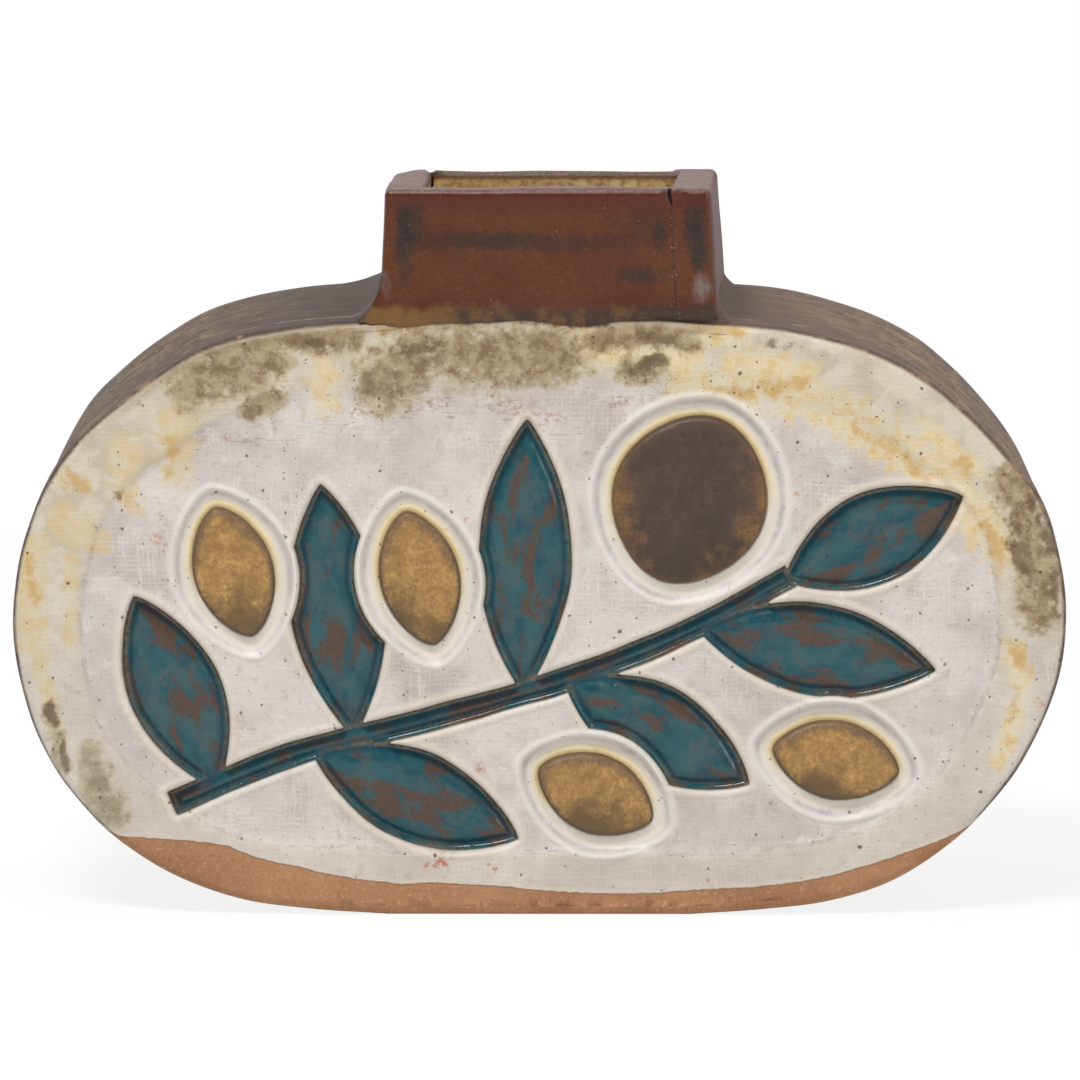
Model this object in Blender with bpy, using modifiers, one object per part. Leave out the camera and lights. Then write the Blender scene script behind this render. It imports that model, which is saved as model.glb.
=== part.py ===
"""Slab-built stoneware vase: an upright oval body with a rectangular neck and a relief on its front.

Metres, +Z up. The origin is on the ground under the middle of the body. +X runs along the long
side and -Y is the front, where the relief is. Two oval slabs stand upright, one at each face.
Bent strips of clay lie between them, and four small slabs stand on top as the neck, each one
butted against the next like the blades of a pinwheel. Clay coils seal the seams, and the seed
pods of the relief are tablets seated in pockets of the front slab.
"""

import math

import bmesh
import bpy
from mathutils import Vector

# Body, which opens a little to the back
BODY_DEPTH = 0.080
FRONT_HALF_WIDTH = 0.130
FRONT_HEIGHT = 0.150
BACK_SPREAD = 0.004
BACK_RISE = 0.004
SLAB_THICKNESS = 0.010
WALL_THICKNESS = 0.009
EDGE_ROUNDING = 0.0025
JOINT_GAP = 0.0003
CUT_OVERRUN = 0.004

# Neck, whose plan opens a little to the right at the back. Its slabs stand on a flat seat that
# is cut this far below the top of the front slab.
NECK_MIDDLE = 0.0025
NECK_WIDTH = 0.0836
NECK_HEIGHT = 0.0344
NECK_RIGHT_FLARE = 0.0042
NECK_LEFT_TAPER = 0.0014
NECK_RIGHT_TAPER = 0.0025
NECK_SEAT_CUT = 0.0038
NECK_SLAB = 0.0098
NECK_ROUNDING = 0.0012

# Clay smoothed into the corners between the neck and the shoulders
LEFT_FILLET_REACH = 0.0078
LEFT_FILLET_RISE = 0.0125
RIGHT_FILLET_REACH = 0.0042
RIGHT_FILLET_RISE = 0.0050
FILLET_TIP = 0.0004
FILLET_STEPS = 6

# Coils pressed into the seams inside the body
COIL_LEG = 0.0050

# Relief
BORDER_WIDTH = 0.016
PANEL_DEPTH = 0.0010
STEM_DEPTH = 0.0026
STEM_WIDTH = 0.0060
LEAF_DEPTH = 0.0034
COLLAR_DEPTH = 0.0022
COLLAR_WIDTH = 0.0050
TABLET_SEAT_DEPTH = 0.0034
TABLET_STAND_BACK = 0.0001
TABLET_ROUNDING = 0.0010
MOTIF_STEPS = 9
LEAF_WIDTH = 0.0230
LEAF_FULLNESS_SHARE = 0.80
POD_WIDTH = 0.0195
POD_FULLNESS_SHARE = 0.62
FRUIT_WIDTH = 0.0380
FRUIT_FULLNESS_SHARE = 0.52

# The front slab's outline from the end of the flat foot to the middle of the top, as shares of
# its half width and its height. The slabs were cut by hand, so the two sides differ a little.
RIGHT_SIDE_SHARE = (
    (0.290, 0.000), (0.430, 0.0085), (0.550, 0.024), (0.663, 0.058), (0.785, 0.125),
    (0.868, 0.195), (0.925, 0.265), (0.985, 0.390), (1.000, 0.495), (0.985, 0.600),
    (0.948, 0.695), (0.880, 0.771), (0.805, 0.838), (0.715, 0.900), (0.620, 0.940),
    (0.485, 0.972), (0.300, 0.988),
)
LEFT_SIDE_SHARE = (
    (0.290, 0.000), (0.430, 0.0085), (0.550, 0.024), (0.663, 0.058), (0.800, 0.125),
    (0.885, 0.195), (0.940, 0.265), (0.985, 0.380), (1.000, 0.495), (0.985, 0.600),
    (0.948, 0.695), (0.880, 0.785), (0.805, 0.845), (0.715, 0.902), (0.630, 0.945),
    (0.485, 0.976), (0.300, 0.990),
)
TOP_SHARE = (0.000, 1.000)
STEPS_PER_KNOT = 3
BASE_JOINT_KNOT = 3  # the knot where the base strip meets a side wall
COIL_END_KNOT = 15  # the knot, on each shoulder, where a seam coil ends

# The relief's places, as shares of the front slab's half width and height
STEM_SHARE = (
    (-0.700, 0.187), (-0.477, 0.267), (-0.215, 0.327), (0.046, 0.393), (0.277, 0.473),
    (0.477, 0.567),
)
LEAVES_SHARE = (
    ((-0.615, 0.213), (-0.770, 0.533)),
    ((-0.354, 0.300), (-0.415, 0.720)),
    ((-0.031, 0.373), (-0.023, 0.827)),
    ((-0.431, 0.270), (-0.040, 0.127)),
    ((0.050, 0.395), (0.400, 0.220)),
    ((0.300, 0.480), (0.754, 0.410)),
    ((0.465, 0.560), (0.800, 0.700)),
)
PODS_SHARE = (
    ((-0.546, 0.467), (-0.615, 0.680)),
    ((-0.200, 0.453), (-0.254, 0.673)),
    ((0.000, 0.245), (0.215, 0.160)),
    ((0.446, 0.280), (0.685, 0.240)),
)
FRUIT_SHARE = ((0.231, 0.560), (0.338, 0.827))

NECK_SEAT = FRONT_HEIGHT - NECK_SEAT_CUT
RIM_HEIGHT = NECK_SEAT + NECK_HEIGHT
NECK_LEFT = NECK_MIDDLE - NECK_WIDTH / 2
NECK_RIGHT = NECK_MIDDLE + NECK_WIDTH / 2

CLAY = (0.52, 0.24, 0.11)
WHITE_GLAZE = (0.58, 0.55, 0.50)
WALL_GLAZE = (0.14, 0.10, 0.09)
IRON_GLAZE = (0.13, 0.045, 0.025)
OCHRE_GLAZE = (0.36, 0.20, 0.05)
BROWN_GLAZE = (0.08, 0.05, 0.035)


def clear_scene():
    for old in list(bpy.data.objects):
        bpy.data.objects.remove(old)


def collection(name):
    made = bpy.data.collections.new(name)
    bpy.context.scene.collection.children.link(made)
    return made


def material(name, colour, roughness):
    made = bpy.data.materials.new(name)
    made.use_nodes = True
    shader = made.node_tree.nodes["Principled BSDF"]
    shader.inputs["Base Color"].default_value = (*colour, 1.0)
    shader.inputs["Roughness"].default_value = roughness
    shader.inputs["Metallic"].default_value = 0.0
    return made


def spline_through(knots, steps):
    """Points of a centripetal Catmull-Rom spline that starts and ends at the outer knots."""
    ends = [2 * knots[0] - knots[1], *knots, 2 * knots[-1] - knots[-2]]
    points = []
    for before, start, end, after in zip(ends, ends[1:], ends[2:], ends[3:]):
        first = math.sqrt((start - before).length)
        second = first + math.sqrt((end - start).length)
        third = second + math.sqrt((after - end).length)
        for step in range(steps):
            at = first + (second - first) * step / steps
            low = before.lerp(start, at / first)
            middle = start.lerp(end, (at - first) / (second - first))
            high = end.lerp(after, (at - second) / (third - second))
            left = low.lerp(middle, at / second)
            right = middle.lerp(high, (at - first) / (third - first))
            points.append(left.lerp(right, (at - first) / (second - first)))
    points.append(knots[-1])
    return points


def inset(loop, distance):
    """A closed loop moved inwards by a distance, with mitred corners. It runs anticlockwise."""
    moved = []
    for index, point in enumerate(loop):
        arriving = (point - loop[index - 1]).normalized()
        leaving = (loop[(index + 1) % len(loop)] - point).normalized()
        bisector = (arriving + leaving).normalized()
        inward = Vector((-bisector.y, bisector.x))
        moved.append(point + inward * distance / bisector.dot(arriving))
    return moved


def body_ring(y, depth_in=0.0):
    """The body's outline at y, moved inwards by depth_in, from the right end of the foot round
    over the top to the left end of the foot."""
    share = (y + BODY_DEPTH / 2) / BODY_DEPTH
    half_width = FRONT_HALF_WIDTH + BACK_SPREAD * share
    height = FRONT_HEIGHT + BACK_RISE * share
    right = [Vector((x * half_width, z * height)) for x, z in RIGHT_SIDE_SHARE]
    left = [Vector((-x * half_width, z * height)) for x, z in LEFT_SIDE_SHARE]
    top = Vector((TOP_SHARE[0] * half_width, TOP_SHARE[1] * height))
    loop = spline_through([*right, top, *reversed(left)], STEPS_PER_KNOT)
    return [Vector((p.x, y, p.y)) for p in inset(loop, depth_in)]


def loft(name, sections, owner, finish):
    """A closed solid through sections with equally many points: the first one as a face, then
    extruded to each of the next."""
    shape = bmesh.new()
    cap = shape.faces.new([shape.verts.new(point) for point in sections[0]])
    for number, section in enumerate(sections[1:]):
        passed = cap
        grown = bmesh.ops.extrude_face_region(shape, geom=[passed])["geom"]
        cap = next(item for item in grown if isinstance(item, bmesh.types.BMFace))
        if number:
            bmesh.ops.delete(shape, geom=[passed], context="FACES_ONLY")
        for vert, point in zip(cap.verts, section):
            vert.co = point
    bmesh.ops.recalc_face_normals(shape, faces=shape.faces)
    mesh = bpy.data.meshes.new(name)
    shape.to_mesh(mesh)
    shape.free()
    mesh.materials.append(finish)
    made = bpy.data.objects.new(name, mesh)
    owner.objects.link(made)
    return made


def joined(name, pieces, owner):
    """One cutter made of several closed solids that don't touch."""
    shape = bmesh.new()
    for piece in pieces:
        shape.from_mesh(piece.data)
        bpy.data.objects.remove(piece)
    mesh = bpy.data.meshes.new(name)
    shape.to_mesh(mesh)
    shape.free()
    made = bpy.data.objects.new(name, mesh)
    owner.objects.link(made)
    return made


def hide(cutter):
    cutter.hide_render = True
    cutter.display_type = "WIRE"


def cut(piece, *cutters):
    for cutter in cutters:
        modifier = piece.modifiers.new("cut by " + cutter.name, "BOOLEAN")
        modifier.operation = "DIFFERENCE"
        modifier.solver = "EXACT"
        modifier.object = cutter


def round_edges(piece, width, segments):
    modifier = piece.modifiers.new("rounded edges", "BEVEL")
    modifier.width = width
    modifier.segments = segments
    modifier.limit_method = "ANGLE"
    modifier.angle_limit = math.radians(40)
    modifier.use_clamp_overlap = True


def front_y():
    return -BODY_DEPTH / 2


def inner_front_y():
    return front_y() + SLAB_THICKNESS


def make_slab(name, near_y, far_y, owner, finish):
    slab = loft(name, [body_ring(near_y), body_ring(far_y)], owner, finish)
    round_edges(slab, EDGE_ROUNDING, 3)
    return slab


def trimmed(sections, trim):
    """Sections of a strip with its first and last one drawn in along the strip by trim."""
    drawn = [list(section) for section in sections]
    for end, inner in ((0, 1), (-1, -2)):
        drawn[end] = [
            start + (toward - start).normalized() * trim
            for start, toward in zip(sections[end], sections[inner])
        ]
    return drawn


def strip_sections(indices, corners):
    """One section for each index, from rings of the body that each give one corner of it."""
    return [[ring[index] for ring in corners] for index in indices]


def wall_corners():
    near = inner_front_y() + JOINT_GAP
    return [
        body_ring(near),
        body_ring(-near),
        body_ring(-near, WALL_THICKNESS),
        body_ring(near, WALL_THICKNESS),
    ]


def make_strip(name, indices, owner, finish):
    sections = trimmed(strip_sections(indices, wall_corners()), JOINT_GAP / 2)
    return loft(name, sections, owner, finish)


def make_seam_coil(name, seam_y, into, owner, finish):
    """A coil in the corner between a slab's inner face and the walls. It runs from one shoulder
    down under the hollow and up to the other shoulder."""
    clear = WALL_THICKNESS + JOINT_GAP
    at_slab = seam_y + into * JOINT_GAP
    corners = [
        body_ring(at_slab, clear),
        body_ring(at_slab + into * COIL_LEG, clear),
        body_ring(at_slab, clear + COIL_LEG),
    ]
    count = len(corners[0])
    end = COIL_END_KNOT * STEPS_PER_KNOT
    indices = [*range(end, -1, -1), *range(count - 1, count - 2 - end, -1)]
    return loft(name, strip_sections(indices, corners), owner, finish)


def neck_left(z, depth_in=0.0):
    rise = (z - NECK_SEAT) / (RIM_HEIGHT - NECK_SEAT)
    return NECK_LEFT + NECK_LEFT_TAPER * rise + depth_in


def neck_right(y, z, depth_in=0.0):
    rise = (z - NECK_SEAT) / (RIM_HEIGHT - NECK_SEAT)
    flare = NECK_RIGHT_FLARE * (y + BODY_DEPTH / 2) / BODY_DEPTH
    return NECK_RIGHT + flare - NECK_RIGHT_TAPER * rise - depth_in


def upright(name, low, high, plan, owner, finish):
    """A block between two heights, whose four corners in plan depend on the height."""
    sections = [[Vector((x, y, z)) for x, y in plan(z)] for z in (low, high)]
    return loft(name, sections, owner, finish)


def make_neck(owner, finish):
    """Four slabs: each one's end is covered by the next, going round."""
    front = front_y()
    back = -front
    inner_front = front + NECK_SLAB
    inner_back = back - NECK_SLAB
    behind = NECK_SLAB + JOINT_GAP

    def front_plan(z):
        return [
            (neck_left(z), front),
            (neck_right(front, z, behind), front),
            (neck_right(inner_front, z, behind), inner_front),
            (neck_left(z), inner_front),
        ]

    def right_plan(z):
        near_back = inner_back - JOINT_GAP
        return [
            (neck_right(front, z, NECK_SLAB), front),
            (neck_right(front, z), front),
            (neck_right(near_back, z), near_back),
            (neck_right(near_back, z, NECK_SLAB), near_back),
        ]

    def back_plan(z):
        return [
            (neck_left(z, behind), inner_back),
            (neck_right(inner_back, z), inner_back),
            (neck_right(back, z), back),
            (neck_left(z, behind), back),
        ]

    def left_plan(z):
        near_front = inner_front + JOINT_GAP
        return [
            (neck_left(z), near_front),
            (neck_left(z, NECK_SLAB), near_front),
            (neck_left(z, NECK_SLAB), back),
            (neck_left(z), back),
        ]

    plans = {
        "neck_front": front_plan,
        "neck_right": right_plan,
        "neck_back": back_plan,
        "neck_left": left_plan,
    }
    for name, plan in plans.items():
        slab = upright(name, NECK_SEAT + JOINT_GAP, RIM_HEIGHT, plan, owner, finish)
        round_edges(slab, NECK_ROUNDING, 2)


def make_neck_seat_cutter(owner, finish):
    """It cuts the top of the body flat under the neck's slabs."""
    reach = front_y() - CUT_OVERRUN

    def plan(z):
        return [
            (neck_left(NECK_SEAT, -JOINT_GAP), reach),
            (neck_right(front_y(), NECK_SEAT, -JOINT_GAP), reach),
            (neck_right(-front_y(), NECK_SEAT, -JOINT_GAP), -reach),
            (neck_left(NECK_SEAT, -JOINT_GAP), -reach),
        ]

    cutter = upright("neck_seat_cutter", NECK_SEAT, RIM_HEIGHT, plan, owner, finish)
    hide(cutter)
    return cutter


def make_mouth_cutter(owner, finish):
    """It opens the shoulders under the neck, flush with the neck's inner faces."""
    reach = inner_front_y()
    low = FRONT_HEIGHT - WALL_THICKNESS - CUT_OVERRUN

    def plan(z):
        return [
            (neck_left(NECK_SEAT, NECK_SLAB), reach),
            (neck_right(reach, NECK_SEAT, NECK_SLAB), reach),
            (neck_right(-reach, NECK_SEAT, NECK_SLAB), -reach),
            (neck_left(NECK_SEAT, NECK_SLAB), -reach),
        ]

    cutter = upright("mouth_cutter", low, RIM_HEIGHT, plan, owner, finish)
    hide(cutter)
    return cutter


def height_over(ring, x):
    """The height of the upper half of a body ring at x."""
    crossing = [
        (a, b)
        for a, b in zip(ring, ring[1:])
        if min(a.x, b.x) <= x <= max(a.x, b.x) and a.z > NECK_SEAT / 2
    ]
    a, b = crossing[0]
    return a.z + (b.z - a.z) * (x - a.x) / (b.x - a.x)


def fillet_section(y, side, reach, rise):
    """The concave corner between neck and shoulder at y. side is 1 on the right, -1 on the left."""
    ring = body_ring(y)
    foot = neck_left(NECK_SEAT) if side < 0 else neck_right(y, NECK_SEAT)
    corner_x = foot + side * JOINT_GAP
    steps = range(FILLET_STEPS + 1)
    under_x = [corner_x + side * reach * step / FILLET_STEPS for step in steps]
    under = [Vector((x, y, height_over(ring, x) + JOINT_GAP)) for x in under_x]
    over = []
    for step in steps:
        angle = math.pi / 2 * step / FILLET_STEPS
        x = corner_x + side * (FILLET_TIP + (reach - FILLET_TIP) * (1 - math.sin(angle)))
        lift = FILLET_TIP + (rise - FILLET_TIP) * (1 - math.cos(angle))
        over.append(Vector((x, y, height_over(ring, x) + JOINT_GAP + lift)))
    wall_top = Vector((corner_x, y, over[-1].z))
    return [*under, *over, wall_top]


def make_fillet(name, side, reach, rise, owner, finish):
    sections = [fillet_section(y, side, reach, rise) for y in (front_y(), -front_y())]
    return loft(name, sections, owner, finish)


def on_panel(place):
    """A place of the relief in metres, as x and z."""
    return Vector((place[0] * FRONT_HALF_WIDTH, place[1] * FRONT_HEIGHT))


def motif(ends, width, fullness, grow=0.0):
    """A closed outline from base to tip: pointed where fullness is high, round where it is low."""
    base, tip = on_panel(ends[0]), on_panel(ends[1])
    along = (tip - base).normalized()
    base, tip = base - along * grow, tip + along * grow
    across = Vector((-along.y, along.x))
    half = width / 2 + grow
    near, far = [], []
    for step in range(1, MOTIF_STEPS):
        turn = math.pi * step / MOTIF_STEPS
        share = (1 - math.cos(turn)) / 2
        middle = base.lerp(tip, share)
        out = across * half * math.sin(math.pi * share) ** fullness
        near.append(middle - out)
        far.append(middle + out)
    return [base, *near, tip, *reversed(far)]


def stem_outline():
    line = spline_through([on_panel(place) for place in STEM_SHARE], STEPS_PER_KNOT)
    near, far = [], []
    for index, point in enumerate(line):
        before, after = line[max(index - 1, 0)], line[min(index + 1, len(line) - 1)]
        along = (after - before).normalized()
        across = Vector((-along.y, along.x)) * STEM_WIDTH / 2
        near.append(point - across)
        far.append(point + across)
    return [*near, *reversed(far)]


def sunk(name, outline, depth, owner, finish):
    """A cutter for a field of the relief, as deep as depth behind the front face."""
    levels = (front_y() - CUT_OVERRUN, front_y() + depth)
    sections = [[Vector((p.x, y, p.y)) for p in outline] for y in levels]
    return loft(name, sections, owner, finish)


def tablets():
    """The name, place, width and fullness of each raised tablet of the relief."""
    found = [
        (f"pod_tablet_{number}", place, POD_WIDTH, POD_FULLNESS_SHARE)
        for number, place in enumerate(PODS_SHARE, 1)
    ]
    found.append(("fruit_tablet", FRUIT_SHARE, FRUIT_WIDTH, FRUIT_FULLNESS_SHARE))
    return found


def make_relief_cutters(owner, finish):
    panel = sunk(
        "panel_cutter",
        [Vector((p.x, p.z)) for p in body_ring(front_y(), BORDER_WIDTH)],
        PANEL_DEPTH,
        owner,
        finish,
    )
    leaves = [
        sunk("leaf", motif(ends, LEAF_WIDTH, LEAF_FULLNESS_SHARE), LEAF_DEPTH, owner, finish)
        for ends in LEAVES_SHARE
    ]
    stem = sunk("stem_cutter", stem_outline(), STEM_DEPTH, owner, finish)
    collars = [
        sunk("collar", motif(ends, width, fullness, COLLAR_WIDTH), COLLAR_DEPTH, owner, finish)
        for _, ends, width, fullness in tablets()
    ]
    seats = [
        sunk("seat", motif(ends, width, fullness, JOINT_GAP), TABLET_SEAT_DEPTH, owner, finish)
        for _, ends, width, fullness in tablets()
    ]
    cutters = [
        panel,
        joined("leaf_cutter", leaves, owner),
        stem,
        joined("collar_cutter", collars, owner),
        joined("tablet_seat_cutter", seats, owner),
    ]
    for cutter in cutters:
        hide(cutter)
    return cutters


def make_tablets(owner, pod_finish, fruit_finish):
    levels = (
        front_y() + TABLET_STAND_BACK,
        front_y() + TABLET_SEAT_DEPTH - JOINT_GAP,
    )
    for name, ends, width, fullness in tablets():
        outline = motif(ends, width, fullness)
        sections = [[Vector((p.x, y, p.y)) for p in outline] for y in levels]
        finish = fruit_finish if name == "fruit_tablet" else pod_finish
        tablet = loft(name, sections, owner, finish)
        round_edges(tablet, TABLET_ROUNDING, 2)


def main():
    clear_scene()
    vase = collection("stoneware_vase")
    tools = collection("cutters")
    clay = material("bare stoneware", CLAY, 0.85)
    white = material("white matt glaze", WHITE_GLAZE, 0.45)
    brown_wall = material("grey-brown glaze", WALL_GLAZE, 0.50)
    iron = material("iron red glaze", IRON_GLAZE, 0.20)
    ochre = material("ochre glaze", OCHRE_GLAZE, 0.40)
    dark_brown = material("dark brown glaze", BROWN_GLAZE, 0.45)

    seat_cutter = make_neck_seat_cutter(tools, clay)
    mouth_cutter = make_mouth_cutter(tools, clay)
    relief_cutters = make_relief_cutters(tools, clay)

    front = make_slab("front_slab", front_y(), inner_front_y(), vase, white)
    cut(front, seat_cutter, *relief_cutters)
    back = make_slab("back_slab", -inner_front_y(), -front_y(), vase, white)
    cut(back, seat_cutter)

    count = len(body_ring(front_y()))
    joint = BASE_JOINT_KNOT * STEPS_PER_KNOT
    top = len(RIGHT_SIDE_SHARE) * STEPS_PER_KNOT
    right_wall = make_strip("right_wall", range(joint, top + 1), vase, brown_wall)
    left_wall = make_strip("left_wall", range(top, count - joint), vase, brown_wall)
    for wall in (right_wall, left_wall):
        cut(wall, seat_cutter, mouth_cutter)
    under = [*range(count - 1 - joint, count), *range(joint + 1)]
    make_strip("base_strip", under, vase, clay)

    make_seam_coil("front_seam_coil", inner_front_y(), 1, vase, clay)
    make_seam_coil("back_seam_coil", -inner_front_y(), -1, vase, clay)

    make_neck(vase, iron)
    make_fillet("left_shoulder_fillet", -1, LEFT_FILLET_REACH, LEFT_FILLET_RISE, vase, iron)
    make_fillet("right_shoulder_fillet", 1, RIGHT_FILLET_REACH, RIGHT_FILLET_RISE, vase, iron)
    make_tablets(vase, ochre, dark_brown)


main()
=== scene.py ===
"""Looks of the slab-built stoneware vase, and its view at the photograph's angle.

Metres, +Z up, -Y is the front. Each solid of the frame gets a finer glazed piece in its place.
"""
import math
import bmesh
import bpy
import numpy as np
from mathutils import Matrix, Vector, noise
from mathutils.geometry import delaunay_2d_cdt


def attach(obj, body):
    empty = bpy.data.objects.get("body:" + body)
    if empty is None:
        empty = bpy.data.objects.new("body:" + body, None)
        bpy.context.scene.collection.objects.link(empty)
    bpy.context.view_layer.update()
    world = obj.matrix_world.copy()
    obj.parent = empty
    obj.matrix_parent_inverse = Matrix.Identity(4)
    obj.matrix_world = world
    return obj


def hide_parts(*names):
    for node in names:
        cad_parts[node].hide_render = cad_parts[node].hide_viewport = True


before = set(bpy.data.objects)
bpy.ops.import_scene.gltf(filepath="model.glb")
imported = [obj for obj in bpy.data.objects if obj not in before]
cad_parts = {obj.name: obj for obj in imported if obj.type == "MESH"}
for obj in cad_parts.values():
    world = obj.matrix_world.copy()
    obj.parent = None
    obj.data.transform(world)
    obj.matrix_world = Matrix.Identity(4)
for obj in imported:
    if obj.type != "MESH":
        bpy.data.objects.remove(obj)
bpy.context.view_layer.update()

MM = 0.001

# Sizes of the solids
BODY_DEPTH = 0.080
FRONT_HALF_WIDTH = 0.130
FRONT_HEIGHT = 0.150
BACK_SPREAD = 0.004
BACK_RISE = 0.004
SLAB_THICKNESS = 0.010
WALL_THICKNESS = 0.009
EDGE_ROUNDING = 0.0027
NECK_MIDDLE = 0.0025
NECK_WIDTH = 0.0836
NECK_HEIGHT = 0.0344
NECK_RIGHT_FLARE = 0.0042
NECK_LEFT_TAPER = 0.0014
NECK_RIGHT_TAPER = 0.0025
NECK_SEAT = 0.1462
NECK_SLAB = 0.0098
NECK_ROUNDING = 0.0019

# Reach and rise of a fillet at the front, and the same at the back
LEFT_FILLET = (0.0078, 0.0125, 0.0150, 0.0048)
RIGHT_FILLET = (0.0042, 0.0050, 0.0042, 0.0040)

# The relief
BORDER_WIDTH = 0.016
PANEL_DEPTH = 0.0010
LEAF_DEPTH = 0.0034
STEM_WIDTH = 0.0060
COLLAR_DEPTH = 0.0022
COLLAR_WIDTH = 0.0050
TABLET_SEAT_DEPTH = 0.0031
TABLET_STAND_BACK = 0.0001
LEAF_WIDTH = 0.0230
LEAF_FULLNESS = 0.80
POD_WIDTH = 0.0195
POD_FULLNESS = 0.62
FRUIT_WIDTH = 0.0380
FRUIT_FULLNESS = 0.52

# How far the back edge is drawn in at two thirds of its height, and filled out at the shoulder,
# as shares of the spread
BACK_DRAW = 0.45
BACK_SHOULDER = 0.35

# The front slab's outline, as shares of its half width and its height
RIGHT_SIDE = (
    (0.290, 0.000), (0.430, 0.0085), (0.561, 0.024), (0.677, 0.058), (0.794, 0.125),
    (0.869, 0.195), (0.925, 0.265), (0.985, 0.390), (1.000, 0.495), (0.985, 0.600),
    (0.948, 0.695), (0.880, 0.771), (0.805, 0.838), (0.715, 0.900), (0.620, 0.940),
    (0.485, 0.972), (0.300, 0.988),
)
LEFT_SIDE = (
    (0.290, 0.000), (0.437, 0.0085), (0.567, 0.024), (0.679, 0.058), (0.803, 0.125),
    (0.885, 0.195), (0.940, 0.265), (0.985, 0.380), (1.000, 0.495), (0.985, 0.600),
    (0.948, 0.695), (0.880, 0.785), (0.805, 0.845), (0.715, 0.902), (0.630, 0.945),
    (0.485, 0.976), (0.300, 0.990),
)
TOP = (0.000, 1.000)
BASE_JOINT_KNOT = 3

# The relief's places, as shares of the front slab's half width and height
STEM = (
    (-0.700, 0.187), (-0.477, 0.267), (-0.215, 0.327), (0.046, 0.393), (0.277, 0.473),
    (0.477, 0.567),
)
LEAVES = (
    ((-0.615, 0.213), (-0.770, 0.533)),
    ((-0.354, 0.300), (-0.415, 0.720)),
    ((-0.031, 0.373), (-0.023, 0.827)),
    ((-0.431, 0.270), (-0.040, 0.127)),
    ((0.050, 0.395), (0.400, 0.220)),
    ((0.300, 0.480), (0.754, 0.410)),
    ((0.465, 0.560), (0.800, 0.700)),
)
PODS = (
    ((-0.546, 0.467), (-0.615, 0.680)),
    ((-0.200, 0.453), (-0.254, 0.673)),
    ((0.000, 0.245), (0.215, 0.160)),
    ((0.446, 0.280), (0.685, 0.240)),
)
FRUIT = ((0.231, 0.560), (0.338, 0.827))

FRONT_Y = -BODY_DEPTH / 2
INNER_Y = FRONT_Y + SLAB_THICKNESS
RIM = NECK_SEAT + NECK_HEIGHT
NECK_LEFT = NECK_MIDDLE - NECK_WIDTH / 2
NECK_RIGHT = NECK_MIDDLE + NECK_WIDTH / 2

# The seam in the neck's front face: where it would meet the ground, and how it leans
SEAM_X = NECK_RIGHT - NECK_SLAB + 0.0081
SEAM_LEAN = -0.06

# Spacing of the fine meshes
RING_POINTS = 760
WALL_STEP = 0.0011
COARSE_STEP = 0.0013
FINE_STEP = 0.00058
FINE_BAND = 0.0030
BACK_STEP = 0.0022
NECK_STEP = 0.0009
TABLET_STEP = 0.0005

# A reach for distances that takes in the whole face
WHOLE_FACE = 0.2

# The way round the body: the outline's height as a share of its width, and a mean radius
FLATNESS = 0.6
MEAN_RADIUS = 0.11

# The neck: its seams, cracks and uneven rim
SEAM_REACH = 0.0010
SEAM_ROUNDING = 0.0005
CRACK_WIDTH = 0.0006
NECK_PROUD = 0.00035
NECK_FOOT = NECK_SEAT - 0.0040
BACK_RIM_LIFT = 0.0007
BACK_RIM_SLOPE = 0.0015
BACK_CORNER_DROP = 0.0014

# The fillets: their edges, how far their front ends are drawn back, and their hidden sides
FILLET_EDGE = 0.0010
LEFT_FILLET_BACK = 0.00015
RIGHT_FILLET_BACK = 0.0013
FILLET_ROOT = 0.0035
FILLET_FOOT = 0.0016

# The glazed relief: the ridge between a collar and a sunk field, and contours that the mesh keeps
FIELD_GAP = 0.0014
FIELD_LEVELS = (-0.0018, -0.0009, -0.0003, 0.0003, 0.0009, 0.0015)
FIELD_CROWN = 0.0013
COLLAR_LEVELS = (-0.0014, -0.0007, 0.0, 0.0006)
CONTOUR_STEP = 0.0004
CONTOUR_TOLERANCE = 0.00003
TABLET_ROUNDING = 0.0016

# The pitch of the cloth that printed the glaze
CLOTH_PITCH = 0.00118

# The camera that took the photograph, and the photograph's frame in pixels
CAMERA_PLACE = (0.0049, -1.215, 0.2478)
CAMERA_TARGET = (0.0, 0.0, 0.089)
PHOTO_SIZE = 1080
FOCAL_PIXELS = 4815
SENSOR_MM = 36.0

# Lamps: place, target, size and power. Strength of the world, and what it adds behind
LAMPS = {
    "key": ((-0.45, -0.95, 1.85), (0, 0, 0.08), (0.8, 0.45), 36.0),
    "fill_right": ((1.4, -1.0, 0.7), (0, 0, 0.08), (0.4, 1.0), 6.0),
    "top": ((0.1, 0.4, 1.6), (0, 0, 0.1), (1.2, 0.6), 3.0),
}
WORLD_LEVEL = 0.27
BACK_LEVEL = 0.70


# Shapes in the plane of a slab

def smooth(low, high, value):
    share = np.clip((value - low) / (high - low), 0, 1)
    return share * share * (3 - 2 * share)


def bump(value, middle, half):
    """A soft ridge, 1 at the middle."""
    return np.exp(-(((value - middle) / half) ** 2))


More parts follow.
